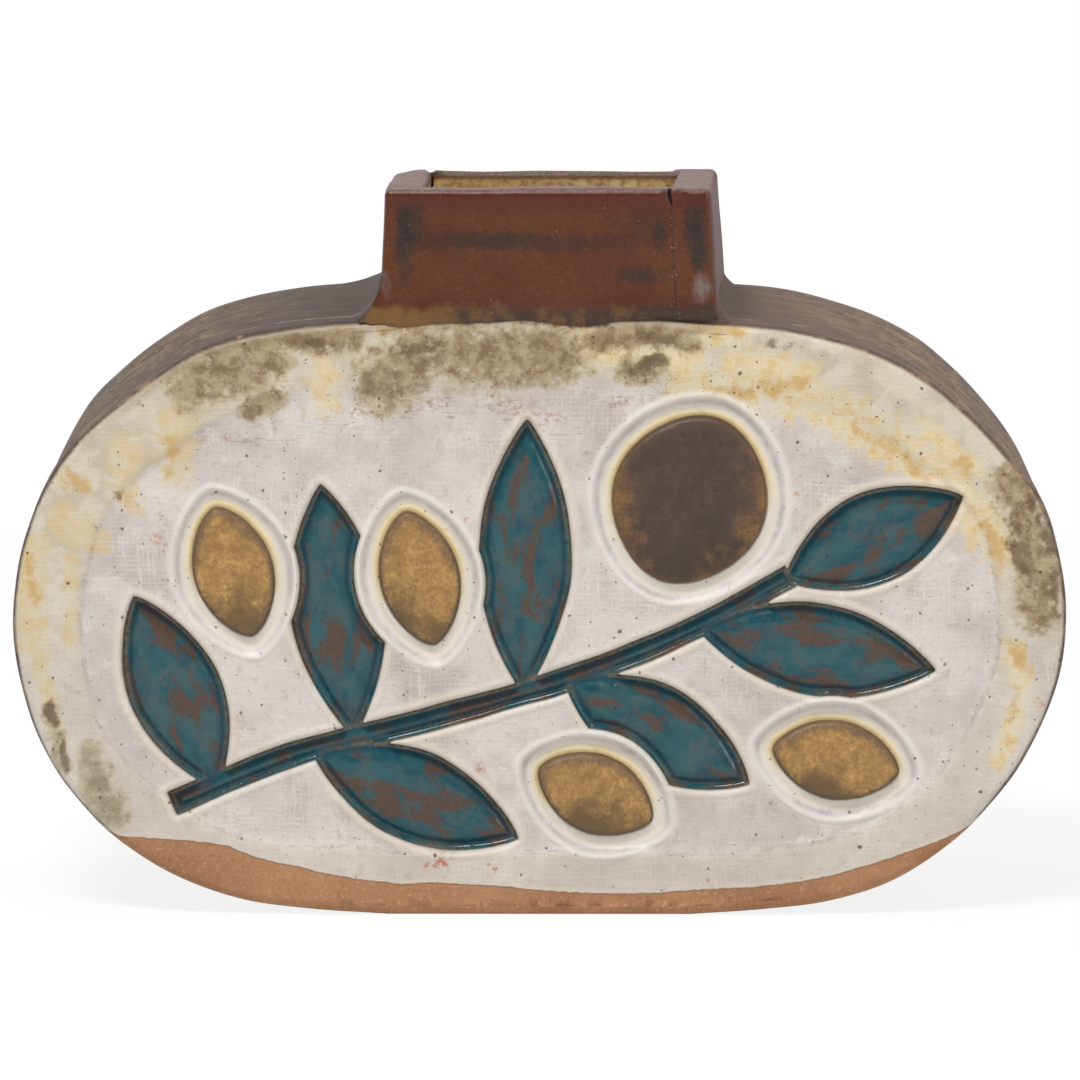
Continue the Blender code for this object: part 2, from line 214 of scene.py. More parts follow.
def spline_through(knots, steps):
    """Points of a centripetal Catmull-Rom spline that starts and ends at the outer knots."""
    knots = np.asarray(knots, float)
    ends = np.vstack([2 * knots[0] - knots[1], knots, 2 * knots[-1] - knots[-2]])
    runs = []
    for before, start, end, after in zip(ends, ends[1:], ends[2:], ends[3:]):
        first = math.sqrt(np.linalg.norm(start - before))
        second = first + math.sqrt(np.linalg.norm(end - start))
        third = second + math.sqrt(np.linalg.norm(after - end))
        at = (first + (second - first) * np.arange(steps) / steps)[:, None]
        low = before + (start - before) * at / first
        middle = start + (end - start) * (at - first) / (second - first)
        high = end + (after - end) * (at - second) / (third - second)
        left = low + (middle - low) * at / second
        right = middle + (high - middle) * (at - first) / (third - first)
        runs.append(left + (right - left) * (at - first) / (second - first))
    return np.vstack([*runs, knots[-1:]])


def rough_loop(y):
    """The body's outline at y as a closed loop, from the right end of the foot over the top."""
    share = (y - FRONT_Y) / BODY_DEPTH

    def sized(knots):
        across, up = np.array(knots).T
        drawn = 1 - BACK_DRAW * bump(up, 0.68, 0.09) + BACK_SHOULDER * bump(up, 0.89, 0.05)
        width = FRONT_HALF_WIDTH + BACK_SPREAD * share * drawn
        return np.column_stack([across * width, up * (FRONT_HEIGHT + BACK_RISE * share)])

    right, left = sized(RIGHT_SIDE), sized(LEFT_SIDE) * (-1, 1)
    loop = spline_through([*right, *sized([TOP]), *left[::-1]], 24)
    foot = np.linspace(loop[-1], loop[0], 60)[1:-1]
    return np.vstack([loop, foot])


def loop_at(loop, places):
    """Points of a closed loop at fractional indices."""
    closed = np.vstack([loop, loop[:1]])
    index = np.arange(len(closed))
    return np.column_stack([np.interp(places, index, closed[:, k]) for k in (0, 1)])


def even_places(loop, count):
    """Where count evenly spaced points of a closed loop lie, as fractional indices."""
    closed = np.vstack([loop, loop[:1]])
    length = np.concatenate([[0], np.cumsum(np.linalg.norm(np.diff(closed, axis=0), axis=1))])
    spread = np.linspace(0, length[-1], count, endpoint=False)
    return np.interp(spread, length, np.arange(len(closed)))


def evenly(loop, spacing):
    """Points of a closed loop, about spacing apart."""
    length = np.linalg.norm(np.roll(loop, -1, axis=0) - loop, axis=1).sum()
    return loop_at(loop, even_places(loop, int(length / spacing)))


RING_PLACES = even_places(rough_loop(FRONT_Y), RING_POINTS)


def outward(loop):
    along = np.roll(loop, -1, axis=0) - np.roll(loop, 1, axis=0)
    along /= np.linalg.norm(along, axis=1)[:, None]
    return np.column_stack([along[:, 1], -along[:, 0]])


def ring(y, depth_in=0.0):
    """The body's outline at y, moved inwards, with the same number of points at each y."""
    points = loop_at(rough_loop(y), RING_PLACES)
    return points - outward(points) * depth_in


def signed_distance(points, loop, reach=0.012):
    """Distance of points to a closed loop, negative inside, and reach where it is further."""
    near = np.all((points > loop.min(0) - reach) & (points < loop.max(0) + reach), axis=1)
    found = np.full(len(points), reach)
    after = np.roll(loop, -1, axis=0)
    edge = after - loop
    squared_length = np.maximum((edge**2).sum(1), 1e-18)
    slope = edge[:, 0] / np.where(edge[:, 1] == 0, 1.0, edge[:, 1])
    where = np.nonzero(near)[0]
    for part in np.array_split(where, len(where) * len(loop) // 400000 + 1):
        close = points[part][:, None, :]
        away = close - loop
        share = np.clip((away * edge).sum(2) / squared_length, 0, 1)[:, :, None]
        distance = np.sqrt(((away - share * edge) ** 2).sum(2).min(1))
        spans = (loop[:, 1] > close[:, :, 1]) != (after[:, 1] > close[:, :, 1])
        crossing = loop[:, 0] + slope * (close[:, :, 1] - loop[:, 1])
        inside = (spans & (close[:, :, 0] < crossing)).sum(1) % 2 == 1
        found[part] = np.where(inside, -1, 1) * distance
    return found


def on_panel(place):
    return np.array((place[0] * FRONT_HALF_WIDTH, place[1] * FRONT_HEIGHT))


def motif(ends, width, fullness, grow=0.0, steps=44):
    """A closed outline from base to tip, anticlockwise."""
    base, tip = on_panel(ends[0]), on_panel(ends[1])
    along = (tip - base) / np.linalg.norm(tip - base)
    base, tip = base - along * grow, tip + along * grow
    across = np.array((-along[1], along[0]))
    share = (1 - np.cos(np.pi * np.arange(1, steps) / steps))[:, None] / 2
    middle = base + (tip - base) * share
    out = across * (width / 2 + grow) * np.sin(np.pi * share) ** fullness
    return np.vstack([base, middle - out, tip, (middle + out)[::-1]])


def stem_outline():
    line = spline_through([on_panel(place) for place in STEM], 12)
    along = np.gradient(line, axis=0)
    along /= np.linalg.norm(along, axis=1)[:, None]
    across = np.column_stack([-along[:, 1], along[:, 0]]) * STEM_WIDTH / 2
    return np.vstack([line - across, (line + across)[::-1]])


LEAF_LOOPS = [motif(ends, LEAF_WIDTH, LEAF_FULLNESS) for ends in LEAVES] + [stem_outline()]
TABLETS = {
    f"pod_tablet_{number}": (ends, POD_WIDTH, POD_FULLNESS) for number, ends in enumerate(PODS, 1)
}
TABLETS["fruit_tablet"] = (FRUIT, FRUIT_WIDTH, FRUIT_FULLNESS)
TABLET_LOOPS = {name: motif(*shape) for name, shape in TABLETS.items()}
COLLAR_LOOPS = [motif(*shape, grow=COLLAR_WIDTH) for shape in TABLETS.values()]


def nearest(points, loops):
    return np.min([signed_distance(points, loop) for loop in loops], axis=0)


def rolling(points, size, seed):
    """Smooth noise from about -1 to 1, whose swells are size long. Short points get zeros."""
    shift = Vector((seed, -2 * seed, 0.5 * seed))
    return 2 * np.array([noise.noise(Vector((*p, 0, 0)[:3]) / size + shift) for p in points])


def at_depth(points, y):
    """Points of the front's plane as places at y, which is one number or one for each."""
    return np.column_stack([points[:, 0], np.broadcast_to(y, len(points)), points[:, 1]])


# Where the photograph shows things on the front face

def camera_axes():
    eye = np.array(CAMERA_PLACE)
    forward = np.array(CAMERA_TARGET) - eye
    forward /= np.linalg.norm(forward)
    right = np.cross(forward, (0, 0, 1))
    right /= np.linalg.norm(right)
    return eye, forward, right, np.cross(right, forward)


def from_pixels(pixels):
    """Places x, z on the front plane of pixels of the photograph."""
    eye, forward, right, up = camera_axes()
    flat = np.atleast_2d(np.asarray(pixels, float))
    ray = (
        forward
        + right * (flat[:, :1] - PHOTO_SIZE / 2) / FOCAL_PIXELS
        - up * (flat[:, 1:] - PHOTO_SIZE / 2) / FOCAL_PIXELS
    )
    hit = eye + ray * ((FRONT_Y - eye[1]) / ray[:, 1])[:, None]
    return hit[:, [0, 2]]


# Metres in a pixel of the photograph, on the front face
PIXEL = 0.000245

# Patches of the front glaze: lines through pixels of the photograph, and a half width in pixels
YELLOW_LINES = (
    (((690, 394), (760, 392), (815, 402), (865, 430), (915, 462), (960, 500), (1000, 548)), 23),
    (((690, 330), (738, 333)), 15),
    (((735, 362), (805, 372)), 15),
    (((925, 430), (975, 470)), 12),
    (((560, 345), (640, 350), (690, 362)), 18),
    (((172, 425), (176, 470)), 20),
    (((125, 450), (130, 500)), 16),
    (((62, 520), (95, 540)), 15),
    (((34, 545), (30, 590), (34, 645)), 16),
    (((70, 560), (70, 640)), 8),
    (((40, 660), (58, 740)), 9),
    (((1012, 650), (1025, 690), (1000, 760)), 12),
    (((325, 372), (322, 402)), 16),
)
OCHRE_LINES = (
    (((712, 393), (748, 394)), 9),
    (((768, 388), (797, 386)), 12),
    (((860, 430), (892, 448)), 10),
    (((905, 455), (925, 480)), 8),
    (((963, 464), (972, 474)), 8),
    (((986, 526), (1002, 562)), 9),
    (((174, 440), (171, 470)), 9),
    (((62, 478), (84, 484)), 11),
    (((120, 497), (134, 503)), 7),
    (((385, 325), (425, 318)), 12),
    (((585, 325), (605, 345)), 8),
    (((704, 330), (738, 332)), 9),
    (((30, 560), (34, 600)), 7),
    (((1012, 645), (1026, 668)), 8),
    (((1018, 690), (1010, 720)), 7),
)
KHAKI_LINES = (
    (((192, 388), (222, 374)), 21),
    (((230, 374), (270, 362)), 19),
    (((250, 408), (275, 400)), 11),
    (((215, 350), (285, 340), (350, 338)), 13),
    (((385, 378), (440, 350), (500, 358), (560, 352)), 29),
    (((600, 338), (660, 336), (690, 342)), 12),
    (((630, 372), (655, 366)), 13),
    (((1012, 480), (1030, 530), (1042, 590), (1040, 612)), 20),
    (((90, 760), (100, 790), (112, 815)), 15),
    (((50, 710), (63, 765)), 8),
)
DARK_LINES = (
    (((298, 336), (326, 349)), 6),
    (((210, 352), (216, 352)), 4),
    (((116, 495), (119, 497)), 5),
    (((636, 372), (655, 360)), 9),
    (((405, 352), (440, 345)), 7),
    (((642, 366), (652, 376)), 8),
    (((1036, 500), (1050, 545)), 8),
    (((1012, 520), (1022, 565)), 8),
    (((1052, 575), (1056, 605)), 6),
    (((50, 708), (56, 728)), 6),
    (((63, 745), (66, 770)), 5),
    (((640, 335), (670, 340)), 6),
    (((772, 343), (784, 345)), 6),
)
TEXTILE_LINES = (
    (((345, 415), (430, 406), (560, 420)), 16),
    (((190, 455), (250, 436), (320, 424)), 14),
    (((600, 402), (650, 400)), 10),
    (((560, 430), (620, 470)), 14),
)
REDDISH_LINES = (
    (((355, 410), (400, 404), (440, 403)), 10),
    (((500, 404), (545, 418)), 16),
    (((610, 404), (640, 402)), 8),
    (((160, 520), (170, 545)), 10),
    (((435, 838), (450, 862)), 7),
)
RUST_LINES = (
    (((424, 834), (444, 836)), 4),
    (((430, 866), (442, 862)), 6),
    (((490, 866), (508, 868)), 4),
    (((800, 742), (803, 744)), 4),
)
PATCHES = {
    "yellow": YELLOW_LINES, "ochre": OCHRE_LINES, "khaki": KHAKI_LINES, "dark": DARK_LINES,
    "textile": TEXTILE_LINES, "reddish": REDDISH_LINES, "rust": RUST_LINES,
}

# The lower line of the body's glaze, and of the neck's
FOOT_LINE = (
    (60, 815), (118, 836), (175, 840), (212, 843), (230, 847), (246, 854), (262, 860),
    (300, 868), (330, 875), (360, 880), (400, 884), (440, 883), (490, 886), (540, 890),
    (580, 893), (620, 894), (660, 893), (700, 890), (750, 888), (800, 882), (840, 874),
    (880, 862), (920, 848), (960, 832), (1010, 805),
)
NECK_LINE = (
    (338, 270), (352, 321), (375, 321), (400, 327), (430, 322), (470, 323), (520, 321),
    (560, 324), (590, 325), (620, 318), (660, 316), (700, 317), (728, 314), (742, 270),
)

# Streaks on the neck, as pixels of the photograph: middle, half sizes and strength
NECK_STREAKS = (
    ((404, 244), (8, 34), 0.85),
    ((412, 222), (12, 20), 0.75),
    ((695, 228), (10, 26), 0.95),
    ((701, 256), (8, 13), 0.8),
    ((640, 275), (20, 7), 0.8),
    ((470, 241), (60, 9), 0.55),
    ((560, 243), (75, 8), 0.50),
    ((660, 237), (6, 12), 0.75),
    ((645, 222), (26, 13), 0.40),
)

# Painted highlights: a greyish gloss painted low on the right slab and at the left corner
NECK_PAINTED_HIGHLIGHTS = (((702, 289), (8, 13), 0.75), ((386, 286), (4, 12), 0.60))


def near_lines(points, lines):
    """1 in the middle of each patch, falling to 0 past its half width."""
    found = np.zeros(len(points))
    for pixels, half in lines:
        line = from_pixels(pixels)
        half = half * PIXEL
        for start, end in zip(line, line[1:]):
            edge = end - start
            share = np.clip((points - start) @ edge / (edge @ edge), 0, 1)[:, None]
            away = np.linalg.norm(points - start - share * edge, axis=1)
            found = np.maximum(found, 1 - smooth(0.15 * half, 1.7 * half, away))
    return found


def line_height(x, pixels):
    line = from_pixels(pixels)
    return np.interp(x, line[:, 0], line[:, 1])


def above_line(vertices, pixels):
    """How far above a line of the photograph vertices lie, in millimetres."""
    return (vertices[:, 2] - line_height(vertices[:, 0], pixels)) / MM


# Meshes

def new_object(name, vertices, faces, attributes, node):
    """A closed smooth mesh with its faces turned outwards, in place of a node of the frame."""
    mesh = bpy.data.meshes.new(name)
    mesh.from_pydata([tuple(v) for v in vertices], [], [tuple(int(i) for i in f) for f in faces])
    shape = bmesh.new()
    shape.from_mesh(mesh)
    bmesh.ops.recalc_face_normals(shape, faces=shape.faces)
    shape.to_mesh(mesh)
    shape.free()
    mesh.shade_smooth()
    for key, values in attributes.items():
        data = mesh.attributes.new(key, "FLOAT", "POINT").data
        data.foreach_set("value", np.asarray(values, np.float32))
    made = bpy.data.objects.new(name, mesh)
    bpy.context.scene.collection.objects.link(made)
    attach(made, "root")
    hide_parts(node)
    return made


def hex_grid(low, high, step):
    """Points in rows, each row shifted by half a step against the last."""
    rows = np.arange(low[1], high[1], step * math.sqrt(3) / 2)
    found = []
    for number, height in enumerate(rows):
        across = np.arange(low[0] + (number % 2) * step / 2, high[0], step)
        found.append(np.column_stack([across, np.full(len(across), height)]))
    return np.vstack(found)


def triangles_between(boundary, inner, start):
    """Triangles that fill a closed boundary through inner points. Indices count the boundary
    first, from start."""
    points = [Vector(p) for p in np.vstack([boundary, inner])]
    count = len(boundary)
    edges = [(i, (i + 1) % count) for i in range(count)]
    out = delaunay_2d_cdt(points, edges, [list(range(count))], 1, 1e-9, True)
    origin = [ids[0] for ids in out[3]]
    return [[start + origin[i] for i in face] for face in out[2]]


def ring_quads(count, levels):
    """Quads between closed rings of count points that follow each other in the vertex list."""
    here = np.arange(count)
    quad = np.column_stack([here, np.roll(here, -1), np.roll(here, -1) + count, here + count])
    return [list(f) for f in np.vstack([quad + level * count for level in range(levels - 1)])]


def swept(name, sections, attributes, node):
    """A closed mesh of sections that follow each other, with both ends filled."""
    sections = np.array(sections)
    rows, around = sections.shape[:2]
    faces = ring_quads(around, rows)
    faces += [list(range(around)), list(range((rows - 1) * around, rows * around))]
    vertices = sections.reshape(-1, 3)
    return new_object(name, vertices, faces, attributes(vertices), node)


def wander(places, normals, amount):
    """Places moved along their normals by hand-made unevenness."""
    swell = 0.7 * rolling(places, 0.040, 3.1) + 0.3 * rolling(places, 0.013, 7.7)
    return places + normals * (amount * swell)[:, None]


def side_rings(levels):
    """Rings of the body's skin. A level is a y and a distance inwards."""
    rings = []
    for y, depth_in in levels:
        places = at_depth(ring(y, depth_in), y)
        normals = at_depth(outward(ring(y)), 0.0)
        ground = smooth(0.0, 0.010, places[:, 2])
        rings.append(wander(places, normals * ground[:, None], 0.00030))
    return rings


def relief_fields(points):
    """Signed distances in the front plane: to the sunk fields, the collars and the tablets."""
    leaf = nearest(points, LEAF_LOOPS)
    collar = nearest(points, COLLAR_LOOPS)
    tablet = nearest(points, TABLET_LOOPS.values())
    uneven = 0.00016 * rolling(points, 0.012, 5.3)
    field = np.maximum(leaf + uneven, FIELD_GAP - collar)
    return field, collar + 0.7 * uneven, tablet


def leaf_places(points):
    """How far along and across the nearest leaf, or the stem, each point lies."""
    spans = [(on_panel(base), on_panel(tip)) for base, tip in LEAVES]
    spans.append((on_panel(STEM[0]), on_panel(STEM[-1])))
    chosen = np.argmin([signed_distance(points, loop) for loop in LEAF_LOOPS], axis=0)
    along, across = np.zeros(len(points)), np.zeros(len(points))
    for number, (base, tip) in enumerate(spans):
        way = (tip - base) / np.linalg.norm(tip - base)
        own = chosen == number
        offset = points[own] - base
        along[own] = offset @ way + 0.1 * number
        across[own] = offset @ np.array((-way[1], way[0]))
    return along, across


def over_tablet(points):
    """How high above the middle of the nearest tablet each point lies, -1 to 1 at its ends."""
    loops = TABLET_LOOPS.values()
    middles = np.array([loop.mean(0)[1] for loop in loops])
    halves = np.array([np.ptp(loop[:, 1]) / 2 for loop in loops])
    chosen = np.argmin([signed_distance(points, loop) for loop in loops], axis=0)
    return (points[:, 1] - middles[chosen]) / halves[chosen]


def panel_share(points):
    """1 inside the sunk panel and 0 on the border round it, and the distance from the edge."""
    inset = -signed_distance(points, ring(FRONT_Y)[::2], WHOLE_FACE)
    edge = BORDER_WIDTH + 0.0012 * rolling(points, 0.030, 2.2)
    top = smooth(0.118, 0.135, points[:, 1])
    return smooth(edge - 0.0010 - 0.004 * top, edge + 0.0014 + 0.004 * top, inset), inset


def front_depth(points):
    """How far the front face lies behind the front plane."""
    field, collar, tablet = relief_fields(points)
    depth = PANEL_DEPTH * panel_share(points)[0]
    floor = LEAF_DEPTH - FIELD_CROWN * smooth(-0.0007, -0.0042, field)
    sunk = smooth(0.00055, -0.00080, field)
    depth += (floor - depth) * sunk
    depth -= 0.00045 * bump(field, 0.00125, 0.00085) * (1 - sunk)
    depth += (COLLAR_DEPTH - depth) * smooth(0.0006, -0.0030, collar)
    depth -= 0.00055 * bump(collar, 0.0004, 0.0007)
    depth -= 0.0005 * bump(tablet, 0.0006, 0.0009)
    roll = 0.00022 * rolling(points, 0.018, 4.4) + 0.00007 * rolling(points, 0.0050, 8.8)
    return depth + roll * (1 - 0.5 * sunk)


def contour_points(loops, levels, part):
    """Points on contours of one of the relief's distances, found from the loops that bound it."""
    found = []
    for loop in loops:
        even = evenly(loop, 0.85 * FINE_STEP)
        facing = outward(even)
        for level in levels:
            for way, offset in ((1, level), (-1, FIELD_GAP - level)):
                moved = even + facing * offset
                for _ in range(3):
                    step = (way * (level - relief_fields(moved)[part]))[:, None]
                    moved += facing * step.clip(-CONTOUR_STEP, CONTOUR_STEP)
                missed = np.abs(relief_fields(moved)[part] - level)
                found.append(moved[missed < CONTOUR_TOLERANCE])
    return np.vstack(found)


def thinned(points, least):
    """Points with each one dropped that falls in the same small cell as an earlier one."""
    cells = np.round(points / least).astype(int)
    _, first = np.unique(cells, axis=0, return_index=True)
    return points[np.sort(first)]


def front_points():
    """Points inside the front face: fine along the relief's edges, coarse elsewhere."""
    low, high = (-FRONT_HALF_WIDTH, 0.0), (FRONT_HALF_WIDTH, FRONT_HEIGHT)
    edge_loop = ring(FRONT_Y, EDGE_ROUNDING)[::2]
    grids = []
    for step, near, far in ((FINE_STEP, 0.0, FINE_BAND), (COARSE_STEP, FINE_BAND, 1.0)):
        grid = hex_grid(low, high, step)
        grid = grid[signed_distance(grid, edge_loop, WHOLE_FACE) < -0.8 * COARSE_STEP]
        leaf, collar = nearest(grid, LEAF_LOOPS), nearest(grid, COLLAR_LOOPS)
        away = np.minimum(np.abs(leaf), np.abs(collar))
        grids.append(grid[(away >= near) & (away < far)])
    grid = np.vstack(grids)
    distances = relief_fields(grid)
    clear = np.ones(len(grid), bool)
    lines = []
    for part, loops, levels in (
        (0, LEAF_LOOPS + COLLAR_LOOPS, FIELD_LEVELS), (1, COLLAR_LOOPS, COLLAR_LEVELS),
    ):
        lines.append(contour_points(loops, levels, part))
        for level in levels:
            clear &= np.abs(distances[part] - level) > 0.45 * FINE_STEP
    return np.vstack([grid[clear], thinned(np.vstack(lines), 0.4 * FINE_STEP)])


def along_outline(vertices):
    """How far along the skin each vertex is: its angle round the body, times a mean radius."""
    across, up = vertices[:, 0] * FLATNESS, vertices[:, 2] - FRONT_HEIGHT / 2
    return np.arctan2(up, across) * MEAN_RADIUS


def body_attributes(vertices):
    """Height over the glaze's lower line, and the way round the body."""
    return {"foot": above_line(vertices, FOOT_LINE), "along": along_outline(vertices)}


def front_attributes(vertices):
    """Values for the front glaze: distances to what the relief holds, and the patches."""
    points = vertices[:, [0, 2]]
    field, collar, tablet = relief_fields(points)
    share, inset = panel_share(points)
    grain_along, grain_across = leaf_places(points)
    return {
        **body_attributes(vertices),
        **{name: near_lines(points, lines) for name, lines in PATCHES.items()},
        "neck_line": above_line(vertices, NECK_LINE),
        "grain_along": grain_along,
        "grain_across": grain_across,
        "over": over_tablet(points),
        "field": field / MM,
        "collar": collar / MM,
        "tablet": tablet / MM,
        "panel": share,
        "inset": np.clip(inset / MM, -1, 40),
    }


def slab_levels(outer_y, inner_y):
    """Levels of a slab's side from its inner face to its rounded outer edge."""
    way = 1 if outer_y > inner_y else -1
    straight = np.linspace(inner_y, outer_y - way * EDGE_ROUNDING, 9)
    turns = np.linspace(0, math.pi / 2, 8)[1:]
    rounded = [
        (outer_y - way * EDGE_ROUNDING * (1 - math.sin(a)), EDGE_ROUNDING * (1 - math.cos(a)))
        for a in turns
    ]
    return [(y, 0.0) for y in straight] + rounded


def filled_slab(name, outer_y, inner_y, inner_points, depth, attributes, node):
    """A slab with a rounded outer edge, whose outer face follows depth."""
    way = 1 if outer_y > inner_y else -1
    rings = side_rings(slab_levels(outer_y, inner_y))
    edge = rings[-1][:, [0, 2]]
    count = len(edge)
    sunk = way * depth(np.vstack([edge, inner_points]))
    rings[-1][:, 1] = outer_y - sunk[:count]
    for back, ring_points in enumerate(rings[-5:-1]):
        share = (back + 1) / 5
        ring_points[:, 1] -= sunk[:count] * share
    vertices = np.vstack([*rings, at_depth(inner_points, outer_y - sunk[count:])])
    faces = ring_quads(count, len(rings))
    faces += triangles_between(edge, inner_points, (len(rings) - 1) * count)
    faces.append(list(range(count)))
    return new_object(name, vertices, faces, attributes(vertices), node)


def make_front_slab():
    return filled_slab(
        "front_slab_glazed", FRONT_Y, INNER_Y, front_points(), front_depth, front_attributes,
        "front_slab",
    )


def make_back_slab():
    loop = ring(-FRONT_Y, EDGE_ROUNDING)
    points = hex_grid(loop.min(0), loop.max(0), BACK_STEP)
    points = points[signed_distance(points, loop[::3], WHOLE_FACE) < -0.7 * BACK_STEP]

    def depth(flat):
        places = np.column_stack([flat, np.ones(len(flat))])
        swell = 0.00030 * rolling(places, 0.030, 6.1)
        return swell + 0.00010 * rolling(places, 0.008, 1.3) + 0.0003

    return filled_slab(
        "back_slab_glazed", -FRONT_Y, -INNER_Y, points, depth, body_attributes, "back_slab"
    )


def strip(name, indices, node):
    """A bent strip between the two slabs, along indices of the body's ring."""
    across = round((BODY_DEPTH - 2 * SLAB_THICKNESS) / WALL_STEP)
    levels = [(y, 0.0) for y in np.linspace(INNER_Y, -INNER_Y, across + 1)]
    levels += [(y, WALL_THICKNESS) for y in np.linspace(-INNER_Y, INNER_Y, 13)]
    sections = np.array(side_rings(levels))[:, indices].transpose(1, 0, 2)
    inside = np.tile(np.arange(len(levels)) > across, len(indices)).astype(float)
    return swept(name, sections, lambda v: {**body_attributes(v), "inside": inside}, node)


def make_strips():
    """The walls and the base strip, which meet at the lower corners and end under the neck."""
    front = ring(FRONT_Y)
    low_right, low_left = [
        int(np.argmin(np.linalg.norm(front - np.array(side[BASE_JOINT_KNOT]) * size, axis=1)))
        for side, size in (
            (RIGHT_SIDE, (FRONT_HALF_WIDTH, FRONT_HEIGHT)),
            (LEFT_SIDE, (-FRONT_HALF_WIDTH, FRONT_HEIGHT)),
        )
    ]
    upper = front[:, 1] > FRONT_HEIGHT / 2
    high_right = int(np.max(np.nonzero(upper & (front[:, 0] > NECK_RIGHT - NECK_SLAB))))
    high_left = int(np.min(np.nonzero(upper & (front[:, 0] < NECK_LEFT + NECK_SLAB))))
    under = np.concatenate([np.arange(low_left, RING_POINTS), np.arange(low_right + 1)])
    return (
        strip("right_wall_glazed", np.arange(low_right, high_right + 1), "right_wall"),
        strip("left_wall_glazed", np.arange(high_left, low_left + 1), "left_wall"),
        strip("base_strip_clay", under, "base_strip"),
    )


# The neck

def neck_left(_, z):
    return NECK_LEFT + NECK_LEFT_TAPER * (z - NECK_SEAT) / NECK_HEIGHT


def neck_right(y, z):
    flare = NECK_RIGHT_FLARE * (y - FRONT_Y) / BODY_DEPTH
    return NECK_RIGHT + flare - NECK_RIGHT_TAPER * (z - NECK_SEAT) / NECK_HEIGHT


def clustered(length, step, margin):
    """Places from 0 to 1 along a length, closer together near both ends."""
    fine = np.linspace(0, margin, 6)
    middle = np.linspace(margin, length - margin, max(2, int((length - 2 * margin) / step) + 1))
    return np.concatenate([fine[:-1], middle, length - fine[::-1][1:]]) / length


def block_surface(counts):
    """Lattice indices of a block's surface and its quads."""
    numbers, faces = {}, []
    for axis in range(3):
        u, v = [k for k in range(3) if k != axis]
        for side in (0, counts[axis] - 1):
            for i, j in np.ndindex(counts[u] - 1, counts[v] - 1):
                quad = []
                for a, b in ((0, 0), (1, 0), (1, 1), (0, 1)):
                    corner = [0, 0, 0]
                    corner[axis], corner[u], corner[v] = side, i + a, j + b
                    quad.append(numbers.setdefault(tuple(corner), len(numbers)))
                faces.append(quad)
    return np.array(list(numbers)), faces


def neck_block(node, left, right, near_y, far_y, shape, end_radii=(NECK_ROUNDING,) * 2):
    """A slab of the neck with rounded edges. left and right give its sides at a y and z, and
    end_radii the roundings of its left and right ends."""
    wide = right(near_y, NECK_SEAT) - left(near_y, NECK_SEAT)
    size = np.array((wide, far_y - near_y, RIM - NECK_FOOT))
    ticks = [clustered(length, NECK_STEP, 1.3 * NECK_ROUNDING) for length in size]
    lattice, faces = block_surface([len(t) for t in ticks])
    place = np.column_stack([ticks[k][lattice[:, k]] for k in range(3)]) * size
    radius = np.full(len(place), NECK_ROUNDING)
    for end_radius, away in zip(end_radii, (place[:, 0], wide - place[:, 0])):
        radius += (end_radius - NECK_ROUNDING) * smooth(0.0045, 0.0015, away)
    radius = radius[:, None]
    core = np.clip(place, radius, size - radius)
    away = place - core
    away /= np.maximum(np.linalg.norm(away, axis=1), 1e-12)[:, None]
    place = core + away * radius
    y, z = near_y + place[:, 1], NECK_FOOT + place[:, 2]
    low_x, high_x = left(y, z), right(y, z)
    x = low_x + (high_x - low_x) * place[:, 0] / wide
    vertices = shape(wander(np.column_stack([x, y, z]), away, 0.00032))
    return new_object(node + "_glazed", vertices, faces, neck_attributes(vertices), node)


def neck_attributes(vertices):
    """Values for the glazes of the neck and the fillets, which lie far above the bare foot."""
    x, y, z = vertices.T
    inner_left = x - (NECK_LEFT + NECK_SLAB)
    inner_right = NECK_RIGHT - NECK_SLAB - x + 0.002
    inner = np.minimum.reduce([inner_left, inner_right, y - INNER_Y, -INNER_Y - y])
    return {
        "inside": smooth(-0.0012, -0.0002, inner) * smooth(RIM - 0.0008, RIM - 0.0022, z),
        "neck_line": above_line(vertices, NECK_LINE),
        "along": along_outline(vertices),
        "foot": np.full(len(x), 100.0),
    }


def sunk_low(vertices):
    """The neck's outer faces with their foot drawn into the body along the wavering glaze line,
    and the back of the rim with its uneven height."""
    x, y, z = vertices.T
    ends = from_pixels((NECK_LINE[2], NECK_LINE[-2]))[:, 0]
    in_front = line_height(np.clip(x, *ends), NECK_LINE) - 0.0003
    line = np.where(y > 0, shoulder_height(-FRONT_Y, x) - 0.0008, in_front)
    line = line + 0.0003 * rolling(x[:, None], 0.010, 9.4)
    low = smooth(line + 0.0006, line - 0.0012, z)
    outer = np.abs(y) > BODY_DEPTH / 2 - 0.003
    moved = vertices.copy()
    moved[:, 1] = np.where(outer, y + np.sign(y) * (NECK_PROUD - 0.0016 * low), y)
    rise = np.clip((z - NECK_SEAT) / NECK_HEIGHT, 0, 1)
    lift = BACK_RIM_LIFT * smooth(0.000, 0.028, y)
    within = smooth(NECK_LEFT + 0.0090, NECK_LEFT + 0.0115, x)
    slope = BACK_RIM_SLOPE * smooth(-INNER_Y + 0.0006, -FRONT_Y, y)
    slope *= smooth(NECK_RIGHT - 0.0090, NECK_RIGHT - 0.0110, x)
    moved[:, 2] += rise**6 * within * (lift - slope)
    corner = smooth(NECK_LEFT + 0.0085, NECK_LEFT, x) * smooth(0.014, 0.038, y)
    moved[:, 2] += rise**6 * (1 - within) * (lift - BACK_CORNER_DROP * corner)
    return moved


